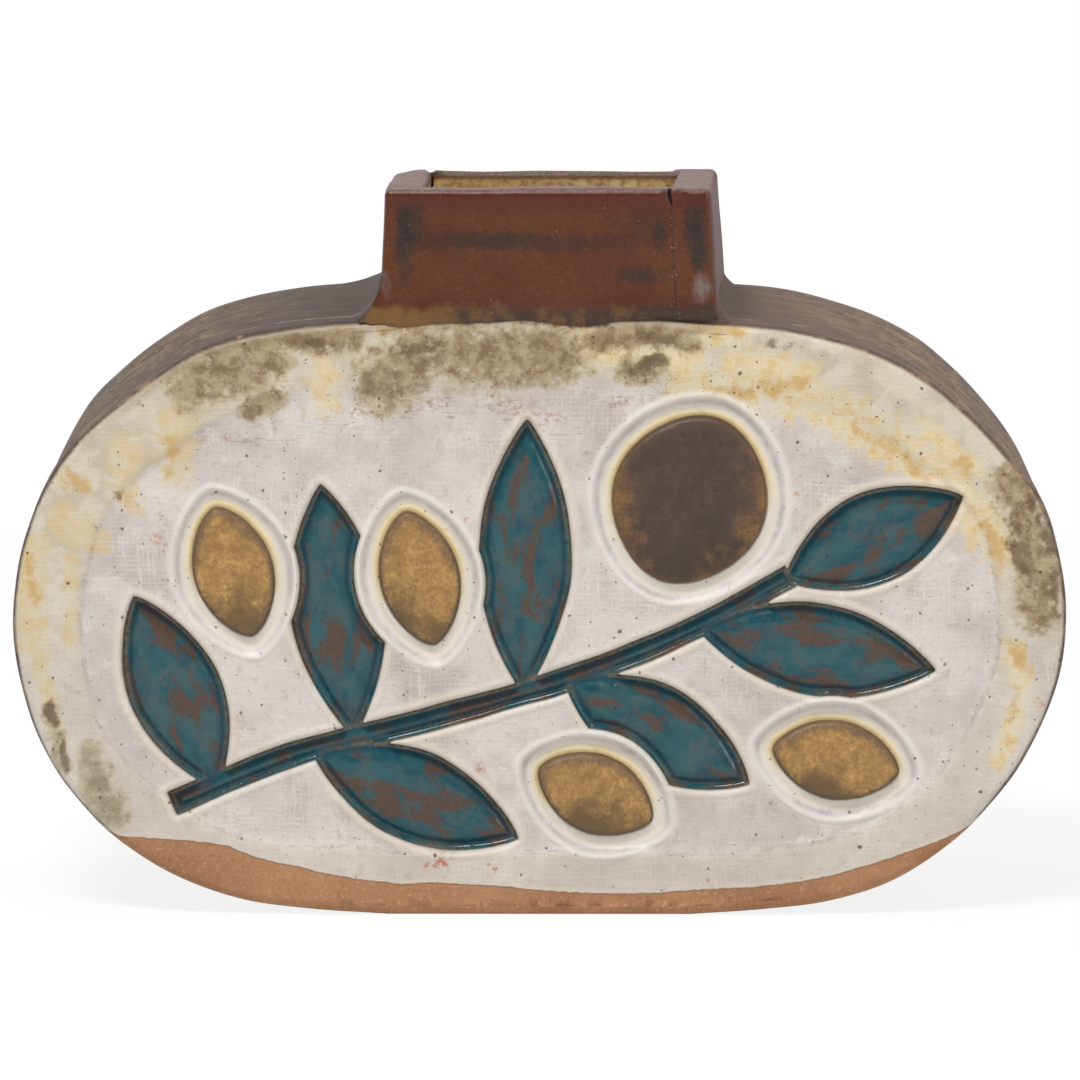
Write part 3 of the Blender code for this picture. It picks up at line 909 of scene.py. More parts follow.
def crack_front(vertices):
    """Opens the seam at the right end of the neck's front slab, from the rim down."""
    moved = sunk_low(vertices)
    x, y, z = moved.T
    near_end = smooth(0.004, 0.0, neck_right(y, z) - NECK_SLAB + SEAM_REACH - x)
    crooked = 0.00035 * rolling(z[:, None], 0.0022, 1.9)
    open_top = smooth(RIM - 0.0052, RIM - 0.0034, z)
    open_top *= smooth(FRONT_Y + 0.0065, FRONT_Y + 0.0045, y)
    moved[:, 0] -= near_end * ((SEAM_REACH + CRACK_WIDTH) * open_top + crooked)
    return moved


def crack_back(vertices):
    """Opens the seam at the left end of the neck's back slab, at the rim."""
    moved = sunk_low(vertices)
    x, y, z = moved.T
    near_end = smooth(0.005, 0.0, x - neck_left(y, z) - NECK_SLAB + SEAM_REACH)
    open_top = smooth(RIM - 0.0060, RIM - 0.0030, z)
    open_top *= smooth(-INNER_Y + 0.0065, -INNER_Y + 0.0045, y)
    moved[:, 0] += near_end * (SEAM_REACH + CRACK_WIDTH) * open_top
    return moved


def shifted(side, by):
    return lambda y, z: side(y, z) + by


def make_neck():
    """Four slabs butted round like a pinwheel."""
    inner_left, inner_right = shifted(neck_left, NECK_SLAB), shifted(neck_right, -NECK_SLAB)
    covering, covered = (NECK_ROUNDING, SEAM_ROUNDING), (SEAM_ROUNDING, NECK_ROUNDING)
    return [
        neck_block(
            "neck_front", neck_left, shifted(inner_right, SEAM_REACH),
            FRONT_Y, FRONT_Y + NECK_SLAB, crack_front, covering,
        ),
        neck_block(
            "neck_right", inner_right, neck_right,
            FRONT_Y, -INNER_Y + SEAM_REACH, sunk_low, covered,
        ),
        neck_block(
            "neck_back", shifted(inner_left, -SEAM_REACH), neck_right,
            -INNER_Y, -FRONT_Y, crack_back, covered,
        ),
        neck_block(
            "neck_left", neck_left, inner_left, INNER_Y - SEAM_REACH, -FRONT_Y, sunk_low,
        ),
    ]


def shoulder_height(y, x):
    loop = ring(y)
    upper = loop[loop[:, 1] > FRONT_HEIGHT / 2]
    order = np.argsort(upper[:, 0])
    return np.interp(x, upper[order, 0], upper[order, 1])


def drop(end, radius):
    """How far a rounded edge lies behind the flat face, at a distance end from the edge."""
    short = max(radius - end, 0)
    return radius - math.sqrt(radius**2 - short**2)


def make_fillet(node, side, reach, rise, back_reach, back_rise):
    """The clay smoothed into the corner between the neck and a shoulder. Its ends lie flush with
    the neck's faces, and its tips follow the rounded edges of the neck and the body."""
    neck, taper, drawn_back = (
        (neck_left, NECK_LEFT_TAPER, LEFT_FILLET_BACK) if side < 0
        else (neck_right, NECK_RIGHT_TAPER, RIGHT_FILLET_BACK)
    )
    turn = np.linspace(0, math.pi / 2, 16)
    sine, cosine = np.sin(turn), np.cos(turn)
    low_share = smooth(0.5, 0.0, turn / turn[-1])
    high_share = smooth(0.5, 1.0, turn / turn[-1])
    front = FRONT_Y - NECK_PROUD + drawn_back
    near = front + FILLET_EDGE * np.array((0.0, 0.06, 0.2, 0.45, 0.8, 1.3, 2.0, 2.8))
    levels = np.concatenate([near, np.linspace(front + 0.004, -front - 0.004, 56), -near[::-1]])
    sections = []
    for y in levels:
        end = min(y - front, -front - y)
        edge = drop(end, FILLET_EDGE)
        at_neck = edge + (drop(end, NECK_ROUNDING) - edge) * high_share
        at_body = edge + (drop(end, EDGE_ROUNDING) - edge) * low_share
        behind = smooth(front + 0.012, -front, y)
        long = reach + (back_reach - reach) * behind
        tall = rise + (back_rise - rise) * behind
        wall = neck(y, NECK_SEAT)
        x = wall + side * (long * (1 - sine) - (at_neck + 0.0001) * sine)
        height = shoulder_height(y, x)
        z = height + tall * (1 - cosine) - (at_body + 0.0001) * cosine
        x -= side * taper * (z - NECK_SEAT) / NECK_HEIGHT
        low = height - FILLET_FOOT + drop(end, FILLET_FOOT)
        low = low + (z - 0.0003 - low) * low_share
        drawn_in = y * (1 - 0.034 * low_share)
        upper, under = [np.column_stack([x, drawn_in, edge_z]) for edge_z in (z, low)]
        inner = wall - side * FILLET_ROOT
        root = ((inner, y, z[-1] - 0.0005), (inner, y, low[-1]))
        sections.append(np.vstack([upper, root, under[::-1]]))
    return swept(node + "_glazed", sections, neck_attributes, node)


# Tablets

def make_tablet(node):
    """A tablet with a rounded rim and an uneven top, seated in its collar."""
    loop = TABLET_LOOPS[node]
    edge = evenly(loop, TABLET_STEP)
    grid = hex_grid(edge.min(0), edge.max(0), TABLET_STEP)
    grid = grid[signed_distance(grid, edge) < -0.0003]
    both = np.vstack([edge, grid])
    count = len(edge)
    inside = np.maximum(-signed_distance(both, edge), 0)
    inside[:count] = 0
    short = np.maximum(TABLET_ROUNDING - inside, 0)
    rounding = TABLET_ROUNDING - np.sqrt(np.maximum(TABLET_ROUNDING**2 - short**2, 0))
    roll = 0.00022 * rolling(both, 0.007, 2.9) + 0.00012 * rolling(both, 0.0022, 5.9)
    top = FRONT_Y + TABLET_STAND_BACK
    vertices = np.vstack([
        at_depth(edge, FRONT_Y + TABLET_SEAT_DEPTH),
        at_depth(edge, top + 1.6 * TABLET_ROUNDING),
        at_depth(both, top + rounding + 0.0002 + roll * smooth(0, 0.002, inside)),
    ])
    faces = ring_quads(count, 3) + triangles_between(edge, grid, 2 * count)
    faces.append(list(range(count)))
    right, above = ((vertices[:, [0, 2]] - loop.mean(0)) / (np.ptp(loop, axis=0) / 2)).T
    inset = np.concatenate([np.full(2 * count, -0.5), inside / MM])
    values = {"inset": inset, "right": right, "over": above}
    return new_object(node + "_glazed", vertices, faces, values, node)


# Materials. Colours are given as they look in a picture, 0 to 255

def srgb(colour):
    """The linear values of a colour, as a socket takes them."""
    shares = np.array(colour) / 255
    linear = np.where(shares <= 0.04045, shares / 12.92, ((shares + 0.055) / 1.055) ** 2.4)
    return (*[float(c) for c in linear], 1.0)


def both_ways(operation):
    """The methods of an operator, for a wire on its left and on its right."""
    return (
        lambda wire, other: wire.nodes.math(operation, wire, other),
        lambda wire, other: wire.nodes.math(operation, other, wire),
    )


class Wire:
    """An output of a node. Arithmetic with it adds math nodes."""

    __array_ufunc__ = None
    __add__, __radd__ = both_ways("ADD")
    __sub__, __rsub__ = both_ways("SUBTRACT")
    __mul__, __rmul__ = both_ways("MULTIPLY")
    __truediv__, __rtruediv__ = both_ways("DIVIDE")

    def __init__(self, nodes, socket):
        self.nodes, self.socket = nodes, socket

    def __abs__(self):
        return self.nodes.math("ABSOLUTE", self)

    def step(self, low, high, out_low=0.0, out_high=1.0):
        """A smooth step of the value between low and high."""
        return self.nodes.wire(
            "ShaderNodeMapRange", "Result", {"interpolation_type": "SMOOTHSTEP"}, Value=self,
            From_Min=low, From_Max=high, To_Min=out_low, To_Max=out_high,
        )


class Nodes:
    """Adds nodes to a tree. A value is a wire, a socket, or a plain number or colour."""

    def __init__(self, tree):
        self.tree = tree

    def set(self, socket, value):
        value = getattr(value, "socket", value)
        if isinstance(value, bpy.types.NodeSocket):
            self.tree.links.new(value, socket)
        else:
            socket.default_value = value

    def node(self, kind, settings=None, **inputs):
        made = self.tree.nodes.new(kind)
        for key, value in (settings or {}).items():
            setattr(made, key, value)
        for key, value in inputs.items():
            self.set(made.inputs[key.replace("_", " ")], value)
        return made

    def wire(self, kind, output, settings=None, **inputs):
        return Wire(self, self.node(kind, settings, **inputs).outputs[output])

    def in_order(self, made, *values):
        """A node whose inputs are given in order."""
        for socket, value in zip(made.inputs, values):
            self.set(socket, value)
        return made

    def math(self, operation, *values):
        made = self.node("ShaderNodeMath", {"operation": operation})
        return Wire(self, self.in_order(made, *values).outputs[0])

    def most(self, a, b):
        return self.math("MAXIMUM", a, b)


class Look(Nodes):
    """A material's nodes."""

    def __init__(self, name):
        self.material = bpy.data.materials.new(name)
        self.material.use_nodes = True
        super().__init__(self.material.node_tree)
        self.tree.nodes.clear()
        self.place = self.node("ShaderNodeTexCoord").outputs["Object"]
        parts = self.node("ShaderNodeSeparateXYZ", Vector=self.place)
        self.x, self.y, self.z = [Wire(self, part) for part in parts.outputs]
        self.bent = None

    def attribute(self, name):
        return self.wire("ShaderNodeAttribute", "Fac", {"attribute_name": name})

    def plane(self, x, y):
        return self.node("ShaderNodeCombineXYZ", X=x, Y=y).outputs[0]

    def stretched(self, *scale):
        return self.node("ShaderNodeMapping", Vector=self.place, Scale=scale).outputs[0]

    def noise(self, size, detail=3.0, rough=0.55, distortion=0.0, vector=None):
        """Noise whose blotches are about size metres long, around 0.5."""
        return self.wire(
            "ShaderNodeTexNoise", "Fac", Vector=vector or self.place, Scale=1 / size,
            Detail=detail, Roughness=rough, Distortion=distortion,
        )

    def flat(self):
        """Object coordinates seen from the front, bent a little so that specks aren't round."""
        if not self.bent:
            size = 0.0009
            shift = self.node("ShaderNodeTexNoise", Vector=self.place, Scale=1 / size, Detail=2.0)
            moved = self.node("ShaderNodeVectorMath", {"operation": "MULTIPLY_ADD"})
            self.in_order(moved, shift.outputs["Color"], (size, size, size), self.place)
            parts = self.node("ShaderNodeSeparateXYZ", Vector=moved.outputs[0]).outputs
            self.bent = self.plane(parts[0], parts[2])
        return self.bent

    def specks(self, size, radius, share, flat=False):
        """1 in specks up to that radius, in a share of the cells of that size."""
        cells = self.node(
            "ShaderNodeTexVoronoi", {"voronoi_dimensions": "2D" if flat else "3D"},
            Vector=self.flat() if flat else self.place, Scale=1 / size, Randomness=1.0,
        ).outputs
        chance = self.wire("ShaderNodeSeparateColor", 0, Color=cells["Color"])
        wide = chance * (radius / size / share)
        speck = Wire(self, cells["Distance"]).step(wide, wide * 0.45)
        return self.math("LESS_THAN", chance, share) * speck

    def mix(self, first, second, share):
        made = self.node("ShaderNodeMix", {"data_type": "RGBA"})
        for place, value in ((0, share), (6, first), (7, second)):
            self.set(made.inputs[place], srgb(value) if isinstance(value, tuple) else value)
        return made.outputs[2]

    def layers(self, colour, *coats):
        """A colour under further ones, each laid on by its share."""
        for coat, share in coats:
            colour = self.mix(colour, coat, share)
        return colour

    def finish(self, colour, roughness, height, specular=0.5):
        relief = self.node("ShaderNodeBump", Height=height, Distance=0.0003, Strength=1.0)
        shader = self.node(
            "ShaderNodeBsdfPrincipled", Base_Color=colour, Roughness=roughness,
            Specular_IOR_Level=specular, Normal=relief.outputs[0],
        )
        self.node("ShaderNodeOutputMaterial", Surface=shader.outputs[0])
        return self.material


def over(look, glaze, *coats):
    """Glazes laid over one by their shares. Each is a colour, a roughness and a height."""
    for (colour, roughness, height), share in coats:
        rest = 1.0 - share
        glaze = (
            look.mix(glaze[0], colour, share),
            glaze[1] * rest + roughness * share,
            glaze[2] * rest + height * share,
        )
    return glaze


PIN_GLAZE = ((60, 44, 32), 0.5, 0.0)


def clay(look):
    """Bare orange-tan clay with fine grog. Returns colour, roughness and height."""
    broad = look.noise(0.020, 3)
    fine = look.noise(0.0009, 3, 0.7)
    colour = look.layers(
        (170, 126, 91),
        ((154, 111, 78), broad.step(0.35, 0.65)),
        ((202, 160, 124), fine.step(0.55, 0.75) * 0.8),
        ((132, 92, 64), fine.step(0.44, 0.26) * 0.8),
        ((100, 72, 54), look.specks(0.0026, 0.00030, 0.22)),
    )
    return colour, 0.82, fine * 0.8 + look.noise(0.004, 2) * 0.5


def weave(look):
    """The print of a coarse cloth in the glaze, from 0 to 1."""
    bend = (look.noise(0.012, 3) - 0.5) * 16.0
    thick = (look.noise(0.0014, 3) - 0.5) * 3.0
    threads = []
    for place, scale in ((look.x, (1.0, 1.0, 0.12)), (look.z, (0.12, 1.0, 1.0))):
        uneven = (look.noise(0.0009, 2, 0.5, vector=look.stretched(*scale)) - 0.5) * 4.0
        wave = look.math("SINE", place * (2 * math.pi / CLOTH_PITCH) + bend)
        threads.append(wave * 0.6 + uneven)
    return (look.most(*threads) + thick).step(-0.9, 1.5)


def blotches(look):
    """Unevenness at three sizes, and a ragged mix of them, around 0."""
    broad = look.noise(0.022, 4, 0.6)
    middle = look.noise(0.0060, 4, 0.6, 0.3)
    fine = look.noise(0.0013, 4, 0.7)
    return broad, middle, fine, (broad - 0.5) * 0.9 + (middle - 0.5) * 1.5 + (fine - 0.5) * 0.9


def white_glaze(look, warm, texture):
    """Off-white glaze: lilac where thin and cream where thick, with the cloth's print. Returns
    its colour and the print. warm is the share of beige in it."""
    broad, middle, fine, ragged = texture
    threads = weave(look)
    cool = look.layers(
        (206, 199, 193),
        ((188, 179, 174), broad.step(0.36, 0.64)),
        ((214, 208, 201), middle.step(0.50, 0.72) * 0.8),
    )
    beige = look.mix((203, 193, 172), (184, 171, 149), middle.step(0.40, 0.66))
    grey = look.noise(0.0030, 4, 0.65).step(0.54, 0.70) * (1.0 - warm)
    grain = look.noise(0.0007, 3, 0.7).step(0.42, 0.66)
    thin = (look.noise(0.019, 3) + ragged * 0.10).step(0.46, 0.66)
    printed = thin * (1.0 - threads) * (1.0 - warm * 0.7)
    rust = look.specks(0.0200, 0.0020, 0.30, flat=True) * fine.step(0.42, 0.56)
    colour = look.layers(
        cool,
        (beige, warm),
        ((164, 150, 145), grey * 0.42),
        ((160, 150, 144), grain * 0.16),
        ((150, 133, 128), printed * 0.42),
        ((176, 112, 74), rust * 0.6),
    )
    return colour, threads


def pins(look):
    """Dark pin specks of three sizes."""
    small, middle, large = [
        look.specks(size, radius, share, flat=True) * strength
        for size, radius, share, strength in (
            (0.0030, 0.00038, 0.26, 0.50),
            (0.0058, 0.00052, 0.36, 0.70),
            (0.0150, 0.00074, 0.36, 0.80),
        )
    ]
    return look.most(small, look.most(middle, large))


def facing(look, axis):
    """One part of the face's direction, such as 1 along z where the face looks up."""
    normal = look.node("ShaderNodeNewGeometry").outputs["Normal"]
    return look.wire("ShaderNodeSeparateXYZ", axis, Vector=normal)


def teal_glaze(look, field, texture):
    """Glossy teal of the sunk fields, breaking to brown along each leaf and olive on its walls,
    with more olive as painted shade where the faces look down.
    """
    _, middle, fine, ragged = texture
    grain = look.plane(look.attribute("grain_along") * 0.42, look.attribute("grain_across"))
    tone = look.noise(0.0042, 4, 0.62, vector=grain)
    patchy = look.noise(0.0062, 4, 0.60, 0.3, vector=grain)
    grey = (middle + (fine - 0.5) * 0.5).step(0.40, 0.66)
    breaking = (patchy + (fine - 0.5) * 0.22).step(0.49, 0.59)
    deep = field.step(-2.9, -1.9) * field.step(-0.9, -1.5)
    # Olive where the glaze breaks on the walls, laid on more as painted shade where faces look
    # down
    shade_looking_down = facing(look, 2).step(0.25, -0.25)
    olive_break_and_shade = (field + ragged * 1.3 + shade_looking_down * 1.1).step(-0.8, 0.3)
    brown = look.mix((88, 60, 46), (66, 58, 48), fine.step(0.42, 0.64))
    olive = look.mix((112, 103, 84), (78, 71, 58), fine.step(0.40, 0.62))
    return look.layers(
        (16, 66, 78),
        ((34, 82, 88), tone.step(0.36, 0.62)),
        ((62, 84, 84), grey * 0.80),
        (brown, breaking * 0.90),
        ((12, 60, 76), deep * 0.55),
        # olive glaze break on the walls, with painted shade on faces that look down
        (olive, olive_break_and_shade * 0.80),
    )


def collar_glaze(look, tablet, texture):
    """Lilac-grey glaze round a tablet, paler and yellow where it pooled against its upper side,
    with a painted shade as a dark ring at the tablet's foot.
    """
    _, middle, _, ragged = texture
    above = (look.attribute("over") + ragged * 1.1).step(-0.6, 0.5)
    white = (tablet + ragged * 0.5).step(4.0, 2.6)
    pooled = (tablet + ragged * 1.4).step(2.8, 1.0)
    tan = (tablet + ragged * 0.6).step(1.5, 0.5)
    # Painted shade: a dark ring in the crease at the tablet's foot
    painted_foot_shade = (tablet + ragged * 0.35).step(0.55, 0.10)
    return look.layers(
        (198, 192, 190),
        ((174, 166, 166), middle.step(0.38, 0.66)),
        ((216, 209, 196), white * 0.85),
        ((216, 199, 152), pooled * above * 0.9),
        ((176, 150, 98), tan * above * 0.8),
        # painted shade at the tablet's foot
        ((92, 72, 46), painted_foot_shade * 0.75),
    )


def khaki_colour(look, texture):
    """Granular brown-grey of the glaze where it broke over the body's edge."""
    grains = look.noise(0.0050, 4, 0.60, 0.3) - 0.5 + (texture[2] - 0.5) * 0.30
    low = look.z.step(0.060, 0.040)
    core = look.mix((116, 95, 66), (140, 128, 104), low)
    flecks = look.noise(0.0016, 4, 0.7).step(0.58, 0.68)
    return look.layers(
        (166, 149, 117),
        ((170, 160, 136), low),
        (core, grains.step(-0.17, 0.15)),
        ((190, 178, 152), flecks * 0.55),
        ((86, 68, 46), look.specks(0.0026, 0.0005, 0.40, flat=True) * 0.6),
    )


def front_look():
    look = Look("front_glaze")
    texture = blotches(look)
    broad, middle, fine, ragged = texture
    field, collar, tablet, panel, inset = [
        look.attribute(name) for name in ("field", "collar", "tablet", "panel", "inset")
    ]
    grains = look.noise(0.0030, 4, 0.62) - 0.5

    def patch(name, low, high, strength, grainy=1.2):
        place = look.attribute(name)
        found = place + ragged * 0.7 + grains * grainy
        return found.step(low, high) * place.step(0.0, 0.15) * strength

    # The white of the panel and the border, with its patches
    border = (panel + ragged * 0.35).step(0.75, 0.25)
    colour, threads = white_glaze(look, border * look.z.step(0.050, 0.100, 0.35, 0.9), texture)
    scratch = look.noise(0.0006, 3, 0.6, vector=look.stretched(0.12, 1.0, 1.0))
    dashes = scratch.step(0.50, 0.66) * grains.step(-0.10, 0.10)
    yellow = look.layers(
        (214, 200, 164),
        ((206, 181, 128), (grains + (fine - 0.5) * 0.5).step(-0.14, 0.20)),
        ((192, 175, 140), look.x.step(-0.065, -0.090) * 0.55),
    )
    top = (inset + ragged * 1.2).step(4.2, 1.2)
    top = top * look.z.step(0.110, 0.140) * look.x.step(0.052, 0.036)
    ring_step = panel * (1.0 - panel) * 4.0
    # Painted shade: a soft darker line along the lower part of the step between the border and the
    # panel
    line = ring_step.step(0.45, 1.0) * ragged.step(-0.20, 0.25) * look.z.step(0.110, 0.080)
    hair = abs(look.noise(0.0046, 4, 0.6, 0.6) - 0.5)
    cracked = hair.step(0.012, 0.003) * ring_step.step(0.2, 0.7) * middle.step(0.50, 0.56)
    thick = broad.step(0.36, 0.62, 0.25, 0.80)
    cream = field.step(0.0, 0.6) * field.step(3.4, 1.0) * thick
    colour = look.layers(
        colour,
        ((140, 112, 104), patch("textile", 0.25, 1.1, 0.60, 0.6) * dashes),
        ((156, 116, 102), patch("reddish", 0.30, 1.3, 0.60) * fine.step(0.44, 0.60)),
        ((184, 170, 140), patch("khaki", -0.25, 0.50, 0.70, 1.9)),
        (yellow, patch("yellow", 0.06, 1.08, 0.86, 2.3)),
        ((190, 156, 98), patch("ochre", 0.22, 1.36, 0.85, 2.3)),
        (khaki_colour(look, texture), patch("khaki", 0.06, 0.95, 0.94, 1.9)),
        ((98, 78, 58), patch("dark", 0.30, 1.05, 0.70, 2.2)),
        ((178, 92, 50), patch("rust", 0.30, 1.00, 0.80, 2.6) * fine.step(0.44, 0.54)),
        ((138, 121, 92), top * 0.70),
        # painted shade along the panel's step
        ((158, 142, 140), line * 0.40),
        ((104, 88, 76), cracked * 0.6),
        ((220, 209, 190), cream * 0.65),
        ((218, 213, 205), collar.step(2.4, 0.6) * 0.65),
    )
    roughness = broad * 0.22 + threads * -0.08 + 0.36
    flat = field.step(0.5, 3.4) * collar.step(0.5, 2.6)
    height = threads * flat * 0.22 + fine * 0.14 + middle * 0.45
    smooth_height = middle * 0.40 + fine * 0.10
    in_collar = (collar + ragged * 0.3).step(0.1, -1.3)
    in_field = (field + ragged * 0.12).step(0.26, -0.06)

    # The neck's glaze that ran down, the slab's edge, glazed like the walls, and the clay foot
    at_neck = (look.attribute("neck_line") + ragged * 2.2).step(-0.9, 0.5)
    at_edge = (inset + ragged * 0.5).step(1.25, 0.25)
    glaze = over(
        look, (colour, roughness, height),
        ((collar_glaze(look, tablet, texture), 0.36, smooth_height), in_collar),
        ((teal_glaze(look, field, texture), fine * 0.30, smooth_height), in_field),
        (PIN_GLAZE, pins(look)),
        (low_iron(look), at_neck * 0.95),
        (wall(look), at_edge),
    )
    at_foot = look.attribute("foot") + ragged * 0.7
    pooled = at_foot.step(1.8, 0.5) * broad.step(0.40, 0.60, 0.3, 1.0)
    foot_line = at_foot.step(-0.40, -0.05) * at_foot.step(0.25, 0.02)
    glaze = over(
        look, glaze,
        (((208, 196, 176), 0.36, glaze[2]), pooled * 0.6),
        (clay(look), at_foot.step(0.12, -0.12)),
        (((122, 76, 50), 0.6, 0.0), foot_line * 0.7),
    )
    return look.finish(*glaze, specular=0.35)


def wall(look):
    """Satin grey-violet-brown glaze with tan broken streaks along the edges. Its right side is
    painted lighter and warmer as light falling from the right, and beside the neck on the left it
    is painted darker as shade.
    """
    path = look.plane(look.attribute("along") * 0.50, look.y)
    streaks = look.noise(0.0070, 4, 0.60, 1.2, vector=path)
    bands = look.noise(0.0180, 4, 0.60, 0.6, vector=path)
    thin = look.noise(0.0022, 4, 0.66, 0.6, vector=path)
    fine = look.noise(0.0011, 4, 0.7)
    off_middle = abs(look.x)
    # Painted light and shade: the right side is lighter and warmer, with stronger tan streaks, as
    # if lit from the right; beside the neck on the left it is darker as painted shade
    painted_light_right = look.x.step(0.0, 0.050)
    painted_shade_beside_neck = off_middle.step(0.085, 0.060) * (1.0 - painted_light_right)
    broken = (streaks + bands * 0.5 + (fine - 0.5) * 0.45).step(0.72, 0.98)
    lines = (thin + (fine - 0.5) * 0.4).step(0.46, 0.66)
    outer = (look.y + bands * 0.03).step(-0.022, 0.022, 0.15, 1.0)
    tan = look.most(broken, lines * outer) * off_middle.step(0.045, 0.100, 0.10, 1.0)
    beside_seam = abs(look.y - (INNER_Y + SEAM_REACH))
    light = beside_seam.step(0.0011, 0.0004) * streaks.step(0.42, 0.56)
    colour = look.layers(
        (80, 63, 56),
        ((64, 49, 44), bands.step(0.38, 0.62)),
        # painted light on the right side, and painted shade beside the neck
        ((98, 76, 65), painted_light_right * 0.55),
        ((58, 47, 45), painted_shade_beside_neck * 0.6),
        ((94, 77, 70), fine.step(0.48, 0.70) * 0.4),
        ((154, 129, 99), tan * (painted_light_right * 0.14 + 0.68)),
        ((152, 136, 122), light * 0.6),
        ((160, 118, 80), look.specks(0.0110, 0.0012, 0.35) * 0.7),
        ((46, 36, 32), look.specks(0.0040, 0.0006, 0.40) * 0.7),
    )
    return colour, 0.72, streaks * 0.4 + fine * 0.30


def wall_look():
    look = Look("wall_glaze")
    ragged = (look.noise(0.005, 3) - 0.5) * 3.0
    glaze = over(
        look, wall(look),
        (((120, 98, 66), 0.45, 0.0), look.attribute("inside")),
        (clay(look), (look.attribute("foot") + ragged).step(0.30, -0.30)),
    )
    return look.finish(*glaze, specular=0.30)


def back_look():
    look = Look("back_glaze")
    texture = blotches(look)
    broad, middle, fine, ragged = texture
    colour, threads = white_glaze(look, look.z.step(0.06, 0.13, 0.1, 0.7), texture)
    high = look.z.step(0.05, 0.13, -0.08, 0.06)
    grains = (look.noise(0.0026, 5, 0.72) - 0.5) * 0.35
    warm = look.noise(0.045, 2) + ragged * 0.10 + high + grains
    olive = look.noise(0.034, 3, 0.6, 0.4) + ragged * 0.10 + high + grains
    colour = look.layers(
        colour,
        ((216, 199, 156), warm.step(0.48, 0.72) * 0.75),
        (khaki_colour(look, texture), olive.step(0.54, 0.76) * 0.85),
    )
    edge_y = -FRONT_Y - 0.0004
    glaze = over(
        look, (colour, broad * 0.22 + 0.34, threads * 0.22 + fine * 0.14 + middle * 0.45),
        (PIN_GLAZE, pins(look)),
        (wall(look), (look.y + ragged * 0.0004).step(edge_y, edge_y - 0.0012)),
        (clay(look), (look.attribute("foot") + ragged * 1.3).step(0.30, -0.30)),
    )
    return look.finish(*glaze, specular=0.35)


def oval(look, pixel, halves, ragged, reach):
    """1 in an oval round a pixel of the photograph, with a ragged soft edge."""
    (x, z), = from_pixels(pixel)
    wide = (look.x - x) / (halves[0] * PIXEL)
    tall = (look.z - z) / (halves[1] * PIXEL)
    return (wide * wide + tall * tall + ragged).step(reach, -0.6)


def front_share(look):
    return look.y.step(-0.0370, -0.0385)


def iron(look):
    """Glossy red-brown iron glaze with blue-black streaks, and painted highlights of grey gloss on
    the front.
    """
    broad = look.noise(0.014, 3)
    middle = look.noise(0.0045, 5, 0.66)
    fine = look.noise(0.0008, 4, 0.72)
    near_rim = look.z.step(RIM - 0.0075, RIM - 0.0040)
    edges = look.most(near_rim, look.z.step(NECK_SEAT + 0.0100, NECK_SEAT + 0.0060))
    ragged = (middle - 0.5) * 3.2 + (fine - 0.5) * 3.4
    brushed = look.noise(0.0012, 3, 0.6, vector=look.stretched(1.0, 1.0, 0.25))
    brushed = brushed.step(0.36, 0.60, 0.25, 1.0)
    front = front_share(look)
    marks = []
    for pixel, halves, strength in NECK_STREAKS:
        streak = oval(look, pixel, halves, ragged, 2.6)
        marks.append(((34, 33, 34), streak * strength * front))
    # Painted highlights: streaky grey gloss laid into the colour on the front
    for pixel, halves, strength in NECK_PAINTED_HIGHLIGHTS:
        pale = oval(look, pixel, halves, ragged * 1.1, 2.4) * brushed
        marks.append(((122, 112, 110), pale * strength * front))
    colour = look.layers(
        (90, 47, 17),
        ((84, 41, 17), broad.step(0.36, 0.64)),
        ((96, 57, 22), middle.step(0.48, 0.70) * 0.6),
        ((80, 32, 20), edges * 0.55),
        ((62, 32, 22), fine.step(0.50, 0.34) * 0.55),
        ((124, 82, 56), fine.step(0.58, 0.74) * 0.35),
        *marks,
    )
    return colour, 0.24, middle * 0.5 + fine * 0.20


def low_iron(look):
    """The neck's glaze with the olive band along its lower line."""
    colour, roughness, height = iron(look)
    ragged = look.noise(0.0040, 5, 0.66) - 0.5
    wave = (look.noise(0.016, 2) - 0.5) * 0.0050
    band = NECK_SEAT + 0.0054
    low = (look.z + ragged * 0.0050 + wave).step(band + 0.0014, band - 0.0012)
    tone = look.noise(0.0080, 3) + ragged * 0.5 + look.x * 3.0
    left = (look.x + ragged * 0.02).step(-0.010, -0.034)
    olive = look.layers(
        (92, 67, 38), ((54, 42, 34), tone.step(0.36, 0.62)), ((124, 90, 44), left * 0.7),
    )
    return look.mix(colour, olive, low * 0.85), roughness, height


